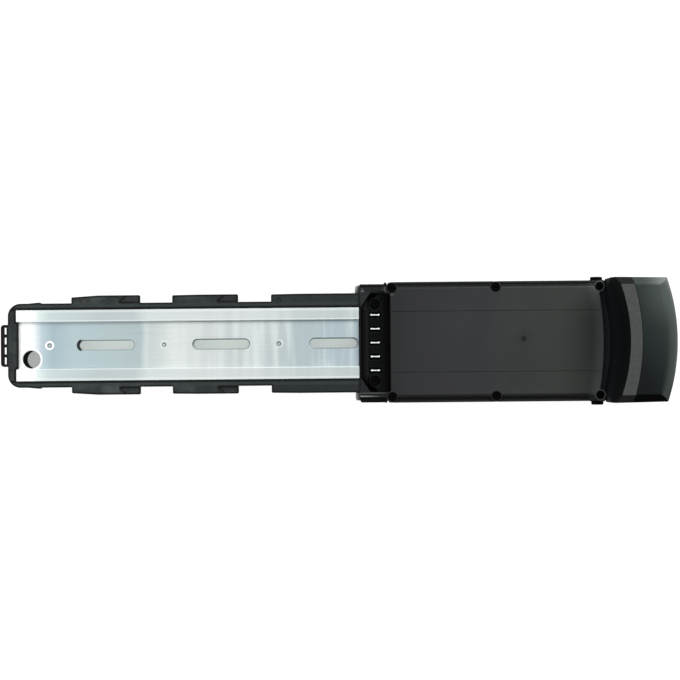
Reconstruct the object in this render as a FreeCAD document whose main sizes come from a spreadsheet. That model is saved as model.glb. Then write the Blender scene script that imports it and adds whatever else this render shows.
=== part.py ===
import FreeCAD, Part
import math
import os
import re
import Sketcher

# Rear-rack battery dock. The pack slides on a rail tray, its fork contacts meet the blades of the
# controller box, and its end nests in a hood. +X runs from the tray's lift loop to the hood, +Z is up,
# and the origin is the middle of the base. Millimetres throughout.

# Every driving size: name, value, meaning.
SIZES = (
    ("overall_length", 500, "lift loop to hood end"),
    ("loop_reach", 5.2, "how far the lift loop stands out of the tray"),
    ("loop_width", 31.5, "width of the lift loop"),
    ("loop_bar", 2.1, "width of the loop's outer bar and sides"),
    ("loop_rib", 2.4, "width of each rib across the loop"),
    ("loop_root", 0.9, "width of the loop's root bar outside the tray"),
    ("loop_thickness", 5, "height of the lift loop"),
    ("loop_corner", 2.5, "plan radius of the lift loop's outer corners"),
    ("box_length", 231.1, "controller box with its hood, from its front face to the hood end"),
    ("tray_width", 63, "tray without its wings"),
    ("tray_bottom", 16, "underside of the tray's floor above the base"),
    ("tray_floor", 5, "floor thickness"),
    ("tray_height", 11, "underside to rim"),
    ("tray_corner", 9.5, "plan radius of the two end corners"),
    ("rim_round", 0.7, "edge radius of the tray's rim and wings"),
    ("end_wall", 6.1, "tray end to the rail plate"),
    ("end_lip", 1.7, "lip that laps over the end of the rail's middle"),
    ("fit_gap", 0.35, "clearance round a piece that drops into a recess"),
    ("barb_start", 7, "tray end to the start of the guide barb"),
    ("barb_end", 23.7, "tray end to the step of the guide barb"),
    ("barb_height", 0.75, "height of the guide barb"),
    ("wing_reach", 5.7, "how far a wing stands out of the tray's side"),
    ("wing_thickness", 4.6, "height of a wing"),
    ("wing_corner", 1.1, "plan radius of a wing's outer corners"),
    ("wing_1_start", 0.18089, "start of the first wing, as a share of the tray's length"),
    ("wing_1_length", 0.19454, "length of the first wing, as a share of the tray's length"),
    ("wing_1_taper", 1.3, "how much narrower the first wing starts"),
    ("wing_2_start", 0.4672, "start of the second wing, as a share of the tray's length"),
    ("wing_2_length", 0.18696, "length of the second wing, as a share of the tray's length"),
    ("wing_2_taper", 0.3, "how much narrower the second wing starts"),
    ("wing_3_start", 0.74782, "start of the third wing, as a share of the tray's length"),
    ("wing_3_length", 0.25218, "length of the third wing, as a share of the tray's length"),
    ("wing_3_taper", 0.3, "how much narrower the third wing starts"),
    ("taper_run", 20, "length over which a wing tapers"),
    ("ramp_length", 15.5, "lowered run-out at the end of the first two wings"),
    ("ramp_slant", 8, "slant of the run-out's inner end"),
    ("ramp_depth", 0.9, "depth of the run-out"),
    ("mark_start", 5.8, "start of the third wing to the ejector mark"),
    ("mark_offset", 0.7, "side of the tray to the ejector mark"),
    ("mark_radius", 1.5, "ejector mark"),
    ("mark_depth", 0.3, "ejector mark"),
    ("rib_thickness", 2, "stiffening ribs under the tray"),
    ("rib_depth", 5, "depth of the ribs under the tray"),
    ("rib_inset", 3.5, "side of the tray to the long ribs"),
    ("apron_thickness", 6, "end plate that meets the box"),
    ("apron_bottom", 2, "underside of the end plate above the base"),
    ("rail_gap", 0.8, "rail plate to the box's front face"),
    ("tray_rim", 4.75, "side of the tray to the rail plate"),
    ("rail_thickness", 3, "middle of the rail plate"),
    ("ledge_width", 9.15, "raised ledge at each side of the rail plate"),
    ("ledge_rise", 2.4, "ledge above the middle"),
    ("ledge_round", 0.5, "edge radius of the ledges"),
    ("groove_width", 5, "relief groove under a ledge"),
    ("rail_break", 0.4, "chamfer round the slots and the lock hole"),
    ("screw_start", 24.7, "start of the rail plate to its first screw"),
    ("screw_end", 60.1, "last rail screw to the end of the rail plate"),
    ("slot_after", 21.6, "a rail screw to the slot after it"),
    ("slot_before", 22.4, "a slot to the rail screw after it"),
    ("slot_width", 6.8, "slots"),
    ("short_slot_end", 1.5, "third slot to the end of the rail plate"),
    ("short_slot_length", 35.5, "third slot, end to end"),
    ("lock_inset", 10.8, "start of the rail plate to the lock hole"),
    ("lock_offset", 10.4, "lock hole off the centre line"),
    ("lock_radius", 6.7, "lock hole"),
    ("lock_wall", 2.6, "wall of the lock socket"),
    ("ear_offset", 13.2, "lock hole to each screw of the strike plate"),
    ("strike_thickness", 2, "strike plate round the lock socket's mouth"),
    ("strike_corner", 4, "plan radius of the strike plate's corners"),
    ("boss_wall", 2.2, "plastic round a self-tapping screw"),
    ("rail_screw_radius", 1.9, "rail screws"),
    ("rail_screw_length", 14, "rail screws, under the head"),
    ("rail_head_radius", 3.4, "countersunk heads of the rail screws"),
    ("small_screw_radius", 1.45, "cover, connector and strike screws"),
    ("small_head_radius", 2.75, "heads of the small screws"),
    ("small_head_height", 1.8, "heads of the small screws"),
    ("small_socket", 1.25, "circumradius of the small screws' hexagon"),
    ("joint_screw_radius", 1.9, "screws between the tray and the box"),
    ("joint_screw_length", 8, "screws between the tray and the box, under the head"),
    ("joint_head_radius", 3.6, "screws between the tray and the box"),
    ("joint_head_height", 2.6, "screws between the tray and the box"),
    ("joint_socket", 1.75, "circumradius of these screws' hexagon"),
    ("joint_rise", 9, "box base to the screws between the tray and the box"),
    ("joint_spread_inner", 11, "centre line to the inner of these screws"),
    ("joint_inset_outer", 5.5, "side of the tray to the outer of these screws"),
    ("box_width", 90, "controller box"),
    ("front_step", 1.2, "step in the box's +Y side ahead of the cover"),
    ("front_drop", 2, "how much lower the box's front is than the rim under the cover"),
    ("shell_height", 28.3, "rim of the lower shell"),
    ("shell_wall", 3.4, "walls of the lower shell"),
    ("lip_width", 1.5, "lip of the lower shell beside the cover"),
    ("lip_height", 3, "lip of the lower shell above its rim"),
    ("notch_width", 3, "notch in the box's sides where the cover starts"),
    ("notch_depth", 2, "notch in the box's sides where the cover starts"),
    ("notch_gap", 2.1, "notch to the cover"),
    ("shell_floor", 3, "floor of the lower shell"),
    ("shell_corner", 1.6, "plan radius of the lower shell's corners"),
    ("shell_round", 1.8, "edge radius round the shell's base"),
    ("end_radius", 142, "plan radius of the hood end"),
    ("deck_bottom", 14, "underside of the connector's seat"),
    ("deck_top", 17, "connector's seat"),
    ("window_length", 13, "opening in the connector's seat"),
    ("window_margin", 6.2, "outer blades to the side of the opening in the connector's seat"),
    ("bar_groove", 1, "grooves along the bars beside the connector"),
    ("bar_groove_depth", 1.2, "grooves along the bars beside the connector"),
    ("duct_width", 4.1, "open duct outside the bar on the -Y side"),
    ("duct_depth", 8, "open duct outside the bar on the -Y side"),
    ("block_gap", 1, "box front face to the connector block"),
    ("block_clearance", 0.55, "clearance round the connector block in its seat"),
    ("block_length", 19.5, "connector block along the dock"),
    ("bar_width", 7.3, "bars beside the connector block"),
    ("block_gutter", 2.1, "gutter between the connector block and the cover"),
    ("block_top", 25.2, "top of the connector block"),
    ("block_corner_run", 7.2, "cut corner of the block, along the dock"),
    ("block_corner_side", 10.5, "cut corner of the block, across the dock"),
    ("block_bevel", 4.6, "bevel on the block's pack side"),
    ("pocket_length", 9.7, "pocket round a blade"),
    ("pocket_width", 5, "pocket round a blade"),
    ("pocket_depth", 5.2, "pocket round a blade"),
    ("blade_inset", 10.3, "block's pack side to the blades' middle"),
    ("blade_length", 6.9, "contact blades along the dock"),
    ("blade_thickness", 0.7, "contact blades"),
    ("blade_bead", 0.68, "radius of the bead along each end of a blade"),
    ("blade_top", 26, "tip of the contact blades"),
    ("blade_tail", 7, "foot of the contact blades"),
    ("tail_length", 3.6, "narrow tail of a contact blade"),
    ("block_screw_inset", 7.8, "side of the block to its screws"),
    ("blade_screw_gap", 7.9, "outer blades to the block's screws"),
    ("block_recess_radius", 4.2, "recess round a block screw"),
    ("block_recess_depth", 3.4, "recess round a block screw"),
    ("gasket_thickness", 0.7, "flat gaskets"),
    ("gasket_inset", 0.4, "flat gaskets inside the outline of what they seal"),
    ("gasket_width", 1.3, "flat gaskets"),
    ("cover_start", 22.8, "box front face to the cover"),
    ("cover_side", 1.7, "side of the box to the cover"),
    ("rebate_width", 1.3, "rebate along the cover's sides"),
    ("rebate_depth", 2.6, "rebate along the cover's sides"),
    ("cover_thickness", 4, "cover at its edge"),
    ("cover_skin", 2.4, "cover away from its edge"),
    ("cover_land", 7, "edge of the cover that keeps its full thickness"),
    ("cover_round", 2.5, "top edge radius along the cover's sides"),
    ("lobe_round", 0.5, "top edge radius of the round bosses in the cover"),
    ("cover_end_radius", 224, "plan radius of the cover's hood end"),
    ("cover_line_spread", 22.7, "centre line to the grooves along the cover"),
    ("cover_line_width", 0.9, "grooves along the cover"),
    ("cover_line_depth", 0.35, "grooves along the cover"),
    ("gate_run", 59.6, "end of the cover to its moulding dimple"),
    ("gate_offset", 1.8, "centre line to the moulding dimple"),
    ("gate_radius", 1.5, "moulding dimple"),
    ("lobe_radius", 4.4, "round boss of the cover about a screw"),
    ("cover_screw_inset", 0.9, "cover edge to its first screws"),
    ("cover_screw_end", 2.7, "last cover screws to the end of the cover"),
    ("cover_screw_side", 4.5, "side of the box to the cover screws"),
    ("cover_screw_length", 9, "cover screws, under the head"),
    ("screw_recess_radius", 3.3, "recess round a cover screw"),
    ("screw_recess_depth", 2.9, "recess round a cover screw"),
    ("insert_radius", 2.1, "brass inserts"),
    ("insert_length", 5, "brass inserts"),
    ("insert_boss", 4.1, "post round a brass insert"),
    ("deck_length", 14, "deck under the end of the cover"),
    ("deck_thickness", 3, "deck under the end of the cover"),
    ("hood_run", 49.7, "end of the cover to the hood end"),
    ("hood_start", 1.9, "end of the cover to the hood's sides"),
    ("hood_foot", 5.6, "end of the cover to the foot of the hood's inner wall"),
    ("hood_flare", 0.9, "how much wider the hood is than the box, each side, at its front"),
    ("hood_taper", 0.9, "how much the hood narrows towards its end, each side"),
    ("hood_top", 74, "hood above the base"),
    ("hood_wall", 2.6, "walls of the hood"),
    ("hood_lean", 9.8, "degrees that the hood's inner wall leans back"),
    ("hood_bay_radius", 131, "plan radius of the hood's inner wall"),
    ("hood_bevel_width", 5.6, "bevel along the hood's sides, across the dock"),
    ("hood_bevel_drop", 7.5, "bevel along the hood's sides, height"),
    ("hood_bevel_round", 2.5, "edge radius under the hood's bevel"),
    ("hood_edge_round", 1.2, "edge radius over the hood's bevel"),
    ("hood_crown_radius", 700, "crown of the hood across the dock"),
    ("hood_round", 14, "rounding of the dome's end"),
    ("strip_width", 8.6, "matte strip along the hood's front edge"),
    ("seam_radius", 157, "plan radius of the seam behind the strip"),
    ("seam_gap", 0.3, "open seam between the strip and the dome"),
    ("tongue_length", 5, "inner lip that joins frame and dome"),
    ("tongue_thickness", 1.8, "inner lip that joins frame and dome"),
    ("hood_screw_run", 28, "hood screws, nearer pair to the farther pair"),
    ("hood_screw_inset", 10, "dock end to the farther pair of hood screws"),
    ("hood_screw_near", 11, "side of the box to the nearer pair of hood screws"),
    ("hood_screw_far", 15, "side of the box to the farther pair of hood screws"),
    ("hood_screw_length", 30, "hood screws, under the head"),
    ("hood_post_radius", 4, "posts for the hood screws"),
    ("side_screw_end", 2.6, "side screws to the end of the cover"),
    ("side_screw_rise", 15, "base to the side screws"),
    ("side_screw_radius", 2.4, "side screws"),
    ("side_head_radius", 4.55, "heads of the side screws"),
    ("side_head_height", 2.4, "heads of the side screws"),
    ("side_socket", 1.9, "circumradius of the side screws' hexagon"),
    ("side_screw_length", 12, "side screws, under the head"),
    ("buffer_reach", 3.4, "how far the front buffers stand out of the box"),
    ("buffer_width", 6.1, "front buffers"),
    ("buffer_height", 11, "front buffers"),
    ("buffer_rise", 3.5, "base to the front buffers"),
    ("buffer_gap", 0.2, "wing of the tray to a front buffer"),
    ("buffer_round", 1.6, "plan radius of a front buffer's outer corner"),
    ("washer_radius", 5.4, "washers of the side screws"),
    ("washer_thickness", 0.8, "washers of the side screws"),
    ("side_insert_radius", 3.6, "threaded inserts of the side screws"),
    ("side_boss_wall", 2.4, "plastic round the side inserts"),
    ("side_boss_length", 9, "depth of the side inserts"),
    ("spreader_start", 48, "box front face to the heat spreader"),
    ("spreader_end", 4, "heat spreader to the end of the circuit board"),
    ("spreader_side", 3, "heat spreader to the side of the circuit board"),
    ("spreader_thickness", 4, "heat spreader"),
    ("board_start", 38, "box front face to the circuit board"),
    ("board_end", 25.4, "circuit board to the end of the cover"),
    ("board_side", 11, "circuit board to the side of the box"),
    ("board_thickness", 1.6, "circuit board"),
    ("board_rise", 17.4, "base to the underside of the circuit board"),
    ("pillar_radius", 3.2, "pillars under the circuit board"),
    ("pillar_inset", 6, "ends and sides of the spreader to its pillars"),
    ("transistor_width", 10, "power transistors"),
    ("transistor_depth", 15, "power transistors"),
    ("transistor_thickness", 4.5, "power transistors"),
    ("transistor_run", 12, "ends of the heat spreader to the middle of the first and last transistors"),
    ("capacitor_radius", 4, "smoothing capacitors, lying down"),
    ("capacitor_length", 20, "smoothing capacitors"),
    ("capacitor_round", 1, "edge radius of the smoothing capacitors"),
    ("capacitor_pitch", 11, "smoothing capacitors"),
    ("header_run", 29.5, "end of the circuit board to the signal header"),
    ("header_length", 7, "signal header on the circuit board"),
    ("header_width", 24, "signal header on the circuit board"),
    ("header_height", 6.5, "signal header on the circuit board"),
    ("header_chamfer", 0.8, "signal header on the circuit board"),
    ("lead_radius", 1.9, "power leads"),
    ("signal_lead_radius", 1, "signal leads"),
    ("lead_bend", 4, "bend radius of the leads"),
    ("outlet_inset", 24, "dock end to the cable outlet"),
    ("outlet_radius", 8, "cable outlet in the shell's floor"),
    ("outlet_lip", 2.4, "grommet lips outside the hole"),
    ("outlet_bore", 4.5, "cable bore of the grommet"),
    ("outlet_recess", 1.2, "recess for the grommet's lower lip"),
)
NAMES = [row[0] for row in SIZES]

# Shares of a screw head's height: its edge radius, what a pan head keeps under its socket, and the
# depth of a countersunk head's socket.
HEAD_ROUND = 0.33
UNDER_SOCKET = 0.4
FLUSH_SOCKET = 0.7
# Where the grooves start, as shares of the width of a bar beside the connector.
BAR_GROOVES = (0.35, 0.7)

# Counts, which change how many pieces there are.
LOOP_OPENINGS = 4
BLADES = 5
TRANSISTORS = 6
CAPACITORS = 3
RAIL_SCREWS = 3
PITCHED_SLOTS = 2

# Places along the dock (X) and levels (Z), worked out from the driving sizes.
LEFT = "(-overall_length / 2)"
RIGHT = "(overall_length / 2)"
TRAY = f"({LEFT} + loop_reach)"
TRAY_LENGTH = "(overall_length - loop_reach - box_length)"
RAIL = f"({TRAY} + end_wall)"
BOX = f"({RIGHT} - box_length)"
RAIL_LENGTH = f"({TRAY_LENGTH} - end_wall - rail_gap)"
RAIL_WIDTH = "(tray_width - 2 * tray_rim)"
BLOCK_WIDTH = "(box_width - 2 * (front_step + bar_width))"
BLOCK_SCREW_Y = f"({BLOCK_WIDTH} / 2 - block_screw_inset)"
BLADE_PITCH = f"(({BLOCK_SCREW_Y} - blade_screw_gap) * 2 / {BLADES - 1})"
WINDOW_WIDTH = f"({BLADES - 1} * {BLADE_PITCH} + 2 * window_margin)"
BLOCK = f"({BOX} + block_gap)"
BLADE_X = f"({BLOCK} + blade_inset)"
COVER = f"({BOX} + cover_start)"
COVER_LENGTH = "(box_length - cover_start - hood_run)"
COVER_WIDTH = "(box_width - 2 * cover_side)"
COVER_END = f"({COVER} + {COVER_LENGTH})"
COVER_SEAT = "(shell_height + gasket_thickness)"
COVER_TOP = f"({COVER_SEAT} + cover_thickness)"
HOOD_WIDTH = "(box_width + 2 * hood_flare)"
HOOD = f"({COVER_END} + hood_start)"
HOOD_FOOT = f"({COVER_END} + hood_foot)"
HOOD_RIM = f"({HOOD_FOOT} + (hood_top - shell_height) * tan(hood_lean))"
SEAM = f"({HOOD_RIM} + strip_width)"
TRAY_TOP = "(tray_bottom + tray_height)"
RAIL_SEAT = "(tray_bottom + tray_floor)"
RAIL_TOP = f"({RAIL_SEAT} + rail_thickness)"
LOCK_X = f"({RAIL} + lock_inset)"
FRONT_TOP = "(shell_height - front_drop)"
BLOCK_SEAT = "(deck_top + gasket_thickness)"
SIDE_SCREW_X = f"({COVER_END} - side_screw_end)"
SPREADER = f"({BOX} + spreader_start)"
BOARD = f"({BOX} + board_start)"
BOARD_LENGTH = f"(cover_start + {COVER_LENGTH} - board_start - board_end)"
BOARD_WIDTH = "(box_width - 2 * board_side)"
SPREADER_LENGTH = f"({BOARD_LENGTH} + board_start - spreader_start - spreader_end)"
SPREADER_WIDTH = f"({BOARD_WIDTH} - 2 * spreader_side)"
BOARD_TOP = "(board_rise + board_thickness)"
OUTLET_X = f"({RIGHT} - outlet_inset)"
# Clearance hole of the small screws.
SMALL_HOLE = "(small_screw_radius + fit_gap / 2)"
# How far a cutting tool runs past the face that it leaves, and how deep joined plastic overlaps.
PAST = 1
# Two coordinates this close are the same.
CLOSE = 1e-4

ALONG = {
    "X": FreeCAD.Rotation(FreeCAD.Vector(0, 1, 0), 90),
    "-X": FreeCAD.Rotation(FreeCAD.Vector(0, 1, 0), -90),
    "Y": FreeCAD.Rotation(FreeCAD.Vector(1, 0, 0), -90),
    "-Y": FreeCAD.Rotation(FreeCAD.Vector(1, 0, 0), 90),
    "Z": FreeCAD.Rotation(),
    "-Z": FreeCAD.Rotation(FreeCAD.Vector(1, 0, 0), 180),
    "elbow": FreeCAD.Rotation(FreeCAD.Vector(0, 0, -1), FreeCAD.Vector(1, 0, 0), FreeCAD.Vector(0, -1, 0)),
}

document = FreeCAD.newDocument("battery_dock")
sheet = document.addObject("Spreadsheet::Sheet", "Sizes")
for row_number, (size_name, size_value, size_meaning) in enumerate(SIZES, start=1):
    sheet.set(f"A{row_number}", size_meaning)
    sheet.set(f"B{row_number}", str(size_value))
    sheet.setAlias(f"B{row_number}", size_name)
document.recompute()

nodes = []


def formula(text):
    """The text with each size's name pointed at its cell."""
    def cell(match):
        word = match.group(0)
        return f"Sizes.{word}" if word in NAMES else word
    return re.sub(r"[a-z_][a-z_0-9]*", cell, str(text))


def bind(item, **expressions):
    for name, text in expressions.items():
        item.setExpression(name, formula(text))
    return item


def place(item, x, y, z, along="Z"):
    item.Placement = FreeCAD.Placement(FreeCAD.Vector(), ALONG[along])
    for axis, text in (("x", x), ("y", y), ("z", z)):
        item.setExpression(f"Placement.Base.{axis}", formula(text))
    return item


def block(name, x, y, z, length, width, height):
    box = document.addObject("Part::Box", name)
    bind(box, Length=length, Width=width, Height=height)
    return place(box, x, y, z)


def centred_block(name, x, z, length, width, height):
    return block(name, x, f"-({width}) / 2", z, length, width, height)


def rod(name, x, y, z, radius, length, along="Z"):
    cylinder = document.addObject("Part::Cylinder", name)
    bind(cylinder, Radius=radius, Height=length)
    return place(cylinder, x, y, z, along)


def join(name, pieces):
    fusion = document.addObject("Part::MultiFuse", name)
    fusion.Shapes = pieces
    fusion.Refine = True
    return fusion


def overlap(name, pieces):
    common = document.addObject("Part::MultiCommon", name)
    common.Shapes = pieces
    return common


def carve(name, base, cutters):
    cut = document.addObject("Part::Cut", name)
    cut.Base = base
    cut.Tool = cutters[0] if len(cutters) == 1 else join(f"{name}_cutters", cutters)
    cut.Refine = True
    return cut


def group(name, pieces):
    compound = document.addObject("Part::Compound", name)
    compound.Links = pieces
    return compound


def mirrored(name, source):
    """The same piece on the other side of the centre line."""
    mirror = document.addObject("Part::Mirroring", name)
    mirror.Source = source
    mirror.Base = FreeCAD.Vector(0, 0, 0)
    mirror.Normal = FreeCAD.Vector(0, 1, 0)
    return mirror


def both_sides(name, source):
    return [source, mirrored(f"{name}_mirrored", source)]


def new_body(name):
    return document.addObject("PartDesign::Body", name)


def draw_outline(body, name, plane, corners):
    """A closed sketch, drawn as a regular polygon whose corners expressions then hold in place."""
    sketch = body.newObject("Sketcher::SketchObject", name)
    support = [feature for feature in body.Origin.OriginFeatures if feature.Role == plane][0]
    sketch.AttachmentSupport = [(support, "")]
    sketch.MapMode = "FlatFace"
    count = len(corners)
    corner = FreeCAD.Vector(10, 0, 0)
    turns = [FreeCAD.Rotation(FreeCAD.Vector(0, 0, 1), 360 * i / count) for i in range(count)]
    points = [turn.multVec(corner) for turn in turns]
    for i in range(count):
        sketch.addGeometry(Part.LineSegment(points[i], points[(i + 1) % count]))
    for i in range(count):
        sketch.addConstraint(Sketcher.Constraint("Coincident", i, 2, (i + 1) % count, 1))
    for i, corner in enumerate(corners):
        for kind, start, text in zip(("DistanceX", "DistanceY"), (points[i].x, points[i].y), corner):
            held = sketch.addConstraint(Sketcher.Constraint(kind, i, 1, start))
            sketch.setExpression(f"Constraints[{held}]", formula(text))
    return sketch


def padded(name, plane, corners, depth, midplane=False):
    """A body padded from an outline, square to one of its own planes."""
    body = new_body(name)
    pad = body.newObject("PartDesign::Pad", f"{name}_pad")
    pad.Profile = draw_outline(body, f"{name}_outline", plane, corners)
    pad.Midplane = midplane
    bind(pad, Length=depth)
    return body


def turned(name, corners):
    """A body turned about its own Z axis; each corner is a radius and a height."""
    body = new_body(name)
    sketch = draw_outline(body, f"{name}_outline", "XZ_Plane", corners)
    revolution = body.newObject("PartDesign::Revolution", f"{name}_turn")
    revolution.Profile = sketch
    revolution.ReferenceAxis = (sketch, ["V_Axis"])
    revolution.Angle = 360
    return body


def eased(name, source, kind, chosen, size):
    """A body on the source, where it lies, with the chosen edges filleted or chamfered."""
    document.recompute()
    body = new_body(name)
    body.BaseFeature = source
    body.Placement = source.Placement
    for path, text in source.ExpressionEngine:
        if "Placement" in path:
            body.setExpression(path.lstrip("."), text)
    document.recompute()
    base = body.Group[0]
    shape = base.Shape
    edges = [f"Edge{i}" for i, edge in enumerate(shape.Edges, start=1) if chosen(edge, shape.BoundBox)]
    if not edges:
        raise RuntimeError(f"{name}: no edge was chosen")
    feature = body.newObject(f"PartDesign::{kind}", f"{name}_{kind.lower()}")
    feature.Base = (base, edges)
    bind(feature, **{"Radius" if kind == "Fillet" else "Size": size})
    body.Tip = feature
    return body


def near(a, b):
    return abs(a - b) < CLOSE


def upright(edge):
    return isinstance(edge.Curve, Part.Line) and near(abs(edge.Curve.Direction.z), 1)


def lengthwise(edge):
    return isinstance(edge.Curve, Part.Line) and near(abs(edge.Curve.Direction.x), 1)


def flat_end(edge, box):
    """An edge that lies in the piece's last face along X."""
    return near(edge.BoundBox.XMin, box.XMax)


def level_at(edge, height):
    return near(edge.BoundBox.ZMin, height) and near(edge.BoundBox.ZMax, height)


def keep(item, node):
    item.Label = node
    nodes.append(item)
    return item


def slot_cutter(name, x, z, length, height):
    """A round-ended slot on the centre line, from its left end."""
    middle = centred_block(f"{name}_middle", f"{x} + slot_width / 2", z, f"{length} - slot_width",
                           "slot_width", height)
    ends = [rod(f"{name}_end_{i}", f"{x} + {where}", 0, z, "slot_width / 2", height)
            for i, where in enumerate(("slot_width / 2", f"{length} - slot_width / 2"))]
    return join(name, [middle] + ends)


def pan_screw(name, radius, length, head_radius, head_height, socket):
    """A screw that points down, with the underside of its head at its own origin."""
    shank = rod(f"{name}_shank", 0, 0, f"-({length})", radius, f"{length} + {PAST}")
    head = rod(f"{name}_head", 0, 0, 0, head_radius, head_height)
    rounded = eased(f"{name}_rounded", head, "Fillet",
                    lambda edge, box: level_at(edge, box.ZMax), f"{HEAD_ROUND} * {head_height}")
    hexagon = document.addObject("Part::Prism", f"{name}_socket")
    hexagon.Polygon = 6
    bind(hexagon, Circumradius=socket, Height=head_height)
    place(hexagon, 0, 0, f"{UNDER_SOCKET} * {head_height}")
    return carve(name, join(f"{name}_blank", [shank, rounded]), [hexagon])


def flush_screw(name, radius, length, head_radius, socket):
    """A countersunk screw that points down, with its flat top at its own origin."""
    depth = f"({head_radius} - {radius})"
    cone = document.addObject("Part::Cone", f"{name}_head")
    bind(cone, Radius1=radius, Radius2=head_radius, Height=depth)
    place(cone, 0, 0, f"-{depth}")
    shank = rod(f"{name}_shank", 0, 0, f"-({length})", radius, f"{length} - {depth} / 2")
    hexagon = document.addObject("Part::Prism", f"{name}_socket")
    hexagon.Polygon = 6
    bind(hexagon, Circumradius=socket, Height=f"{depth} + {PAST}")
    place(hexagon, 0, 0, f"-{FLUSH_SOCKET} * {depth}")
    return carve(name, join(f"{name}_blank", [shank, cone]), [hexagon])


def small_screw(length):
    return ("small_screw_radius", length, "small_head_radius", "small_head_height", "small_socket")


def screw_set(name, make, sizes, spots, along="Z"):
    """One screw at each spot, kept as separate solids of one node."""
    screws = []
    for i, (x, y, z) in enumerate(spots, start=1):
        screws.append(place(make(f"{name}_{i}", *sizes), x, y, z, along))
    return group(name, screws)


# Rail tray and what it carries.

HOLE_PITCH = f"(({RAIL_LENGTH} - screw_start - screw_end) / {RAIL_SCREWS - 1})"
RAIL_SCREW_X = [f"({RAIL} + screw_start + {i} * {HOLE_PITCH})" for i in range(RAIL_SCREWS)]
SLOT_X = [f"({x} + slot_after)" for x in RAIL_SCREW_X[:PITCHED_SLOTS]]
SLOT_LENGTH = f"({HOLE_PITCH} - slot_after - slot_before)"
SHORT_SLOT_X = f"({RAIL} + {RAIL_LENGTH} - short_slot_end - short_slot_length)"
STRIKE_Y = [f"(-lock_offset + {side} * ear_offset)" for side in (-1, 1)]
JOINT_Y = [f"({side} * {spread})" for spread in ("joint_spread_inner", "(tray_width / 2 - joint_inset_outer)")
           for side in (-1, 1)]


def slots(name):
    """The three slots, through the rail plate and the tray's floor."""
    bottom = f"apron_bottom - {PAST}"
    height = f"{RAIL_TOP} - ({bottom}) + {PAST}"
    cutters = [slot_cutter(f"{name}_{i}", x, bottom, SLOT_LENGTH, height)
               for i, x in enumerate(SLOT_X, start=1)]
    cutters.append(slot_cutter(f"{name}_short", SHORT_SLOT_X, bottom, "short_slot_length", height))
    return cutters


def wing(number):
    """One wing on the +Y side: hooks of the pack pass under it."""
    name = f"wing_{number}"
    length = f"{name}_length * {TRAY_LENGTH}"
    root = f"tray_width / 2 - {PAST}"
    edge = "tray_width / 2 + wing_reach"
    start = f"{TRAY} + {name}_start * {TRAY_LENGTH}"
    body = padded(name, "XY_Plane", [
        (start, root),
        (start, f"{edge} - {name}_taper"),
        (f"{start} + taper_run", edge),
        (f"{start} + {length}", edge),
        (f"{start} + {length}", root),
    ], "wing_thickness")
    place(body, 0, 0, f"{TRAY_TOP} - wing_thickness")

    def outer_end(corner, box):
        ends = near(corner.BoundBox.XMin, box.XMin) or near(corner.BoundBox.XMin, box.XMax)
        return upright(corner) and ends and corner.BoundBox.YMin > box.Center.y
    cornered = eased(f"{name}_cornered", body, "Fillet", outer_end, "wing_corner")

    def top_rim(edge, box):
        return level_at(edge, box.ZMax) and edge.BoundBox.YMax > box.YMin + PAST
    return eased(f"{name}_eased", cornered, "Fillet", top_rim, "rim_round")


def wing_ramp(number):
    """The lowered run-out at the end of a wing, where the hooks come in."""
    name = f"wing_{number}"
    end = f"{TRAY} + ({name}_start + {name}_length) * {TRAY_LENGTH}"
    body = padded(f"{name}_ramp", "XY_Plane", [
        (f"{end} - ramp_length", f"tray_width / 2 + {PAST} / 2"),
        (f"{end} - ramp_length + ramp_slant", f"tray_width / 2 + wing_reach + {PAST}"),
        (f"{end} + {PAST}", f"tray_width / 2 + wing_reach + {PAST}"),
        (f"{end} + {PAST}", f"tray_width / 2 + {PAST} / 2"),
    ], f"ramp_depth + {PAST}")
    return place(body, 0, 0, f"{TRAY_TOP} - ramp_depth")


def lift_loop():
    """The ladder-shaped loop at the free end of the tray."""
    bottom = f"{TRAY_TOP} - loop_thickness"
    frame = centred_block("loop_frame", LEFT, bottom, f"loop_reach + {PAST}", "loop_width", "loop_thickness")
    rounded = eased("loop_rounded", frame, "Fillet",
                    lambda edge, box: upright(edge) and near(edge.BoundBox.XMin, box.XMin), "loop_corner")
    opening = f"((loop_width - 2 * loop_bar - {LOOP_OPENINGS - 1} * loop_rib) / {LOOP_OPENINGS})"
    openings = []
    for i in range(LOOP_OPENINGS):
        y = f"-loop_width / 2 + loop_bar + {i} * ({opening} + loop_rib)"
        openings.append(block(f"loop_opening_{i + 1}", f"{LEFT} + loop_bar", y, f"{bottom} - {PAST}",
                              "loop_reach - loop_bar - loop_root", opening, f"loop_thickness + {2 * PAST}"))
    return carve("lift_loop", rounded, openings)


def tray_ribs():
    """Stiffening ribs under the floor, clear of the slots and the screw posts."""
    start = f"({LOCK_X} + lock_radius + lock_wall)"
    bottom = "tray_bottom - rib_depth"
    height = f"rib_depth + {PAST}"
    long_rib = block("long_rib", start, "tray_width / 2 - rib_inset - rib_thickness", bottom,
                     f"{BOX} - {start} - apron_thickness / 2", "rib_thickness", height)
    ribs = both_sides("long_rib", long_rib)
    for i, x in enumerate(RAIL_SCREW_X, start=1):
        ribs.append(centred_block(f"cross_rib_{i}", f"{x} - rib_thickness / 2", bottom, "rib_thickness",
                                  "tray_width - 2 * rib_inset", height))
    return ribs


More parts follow.
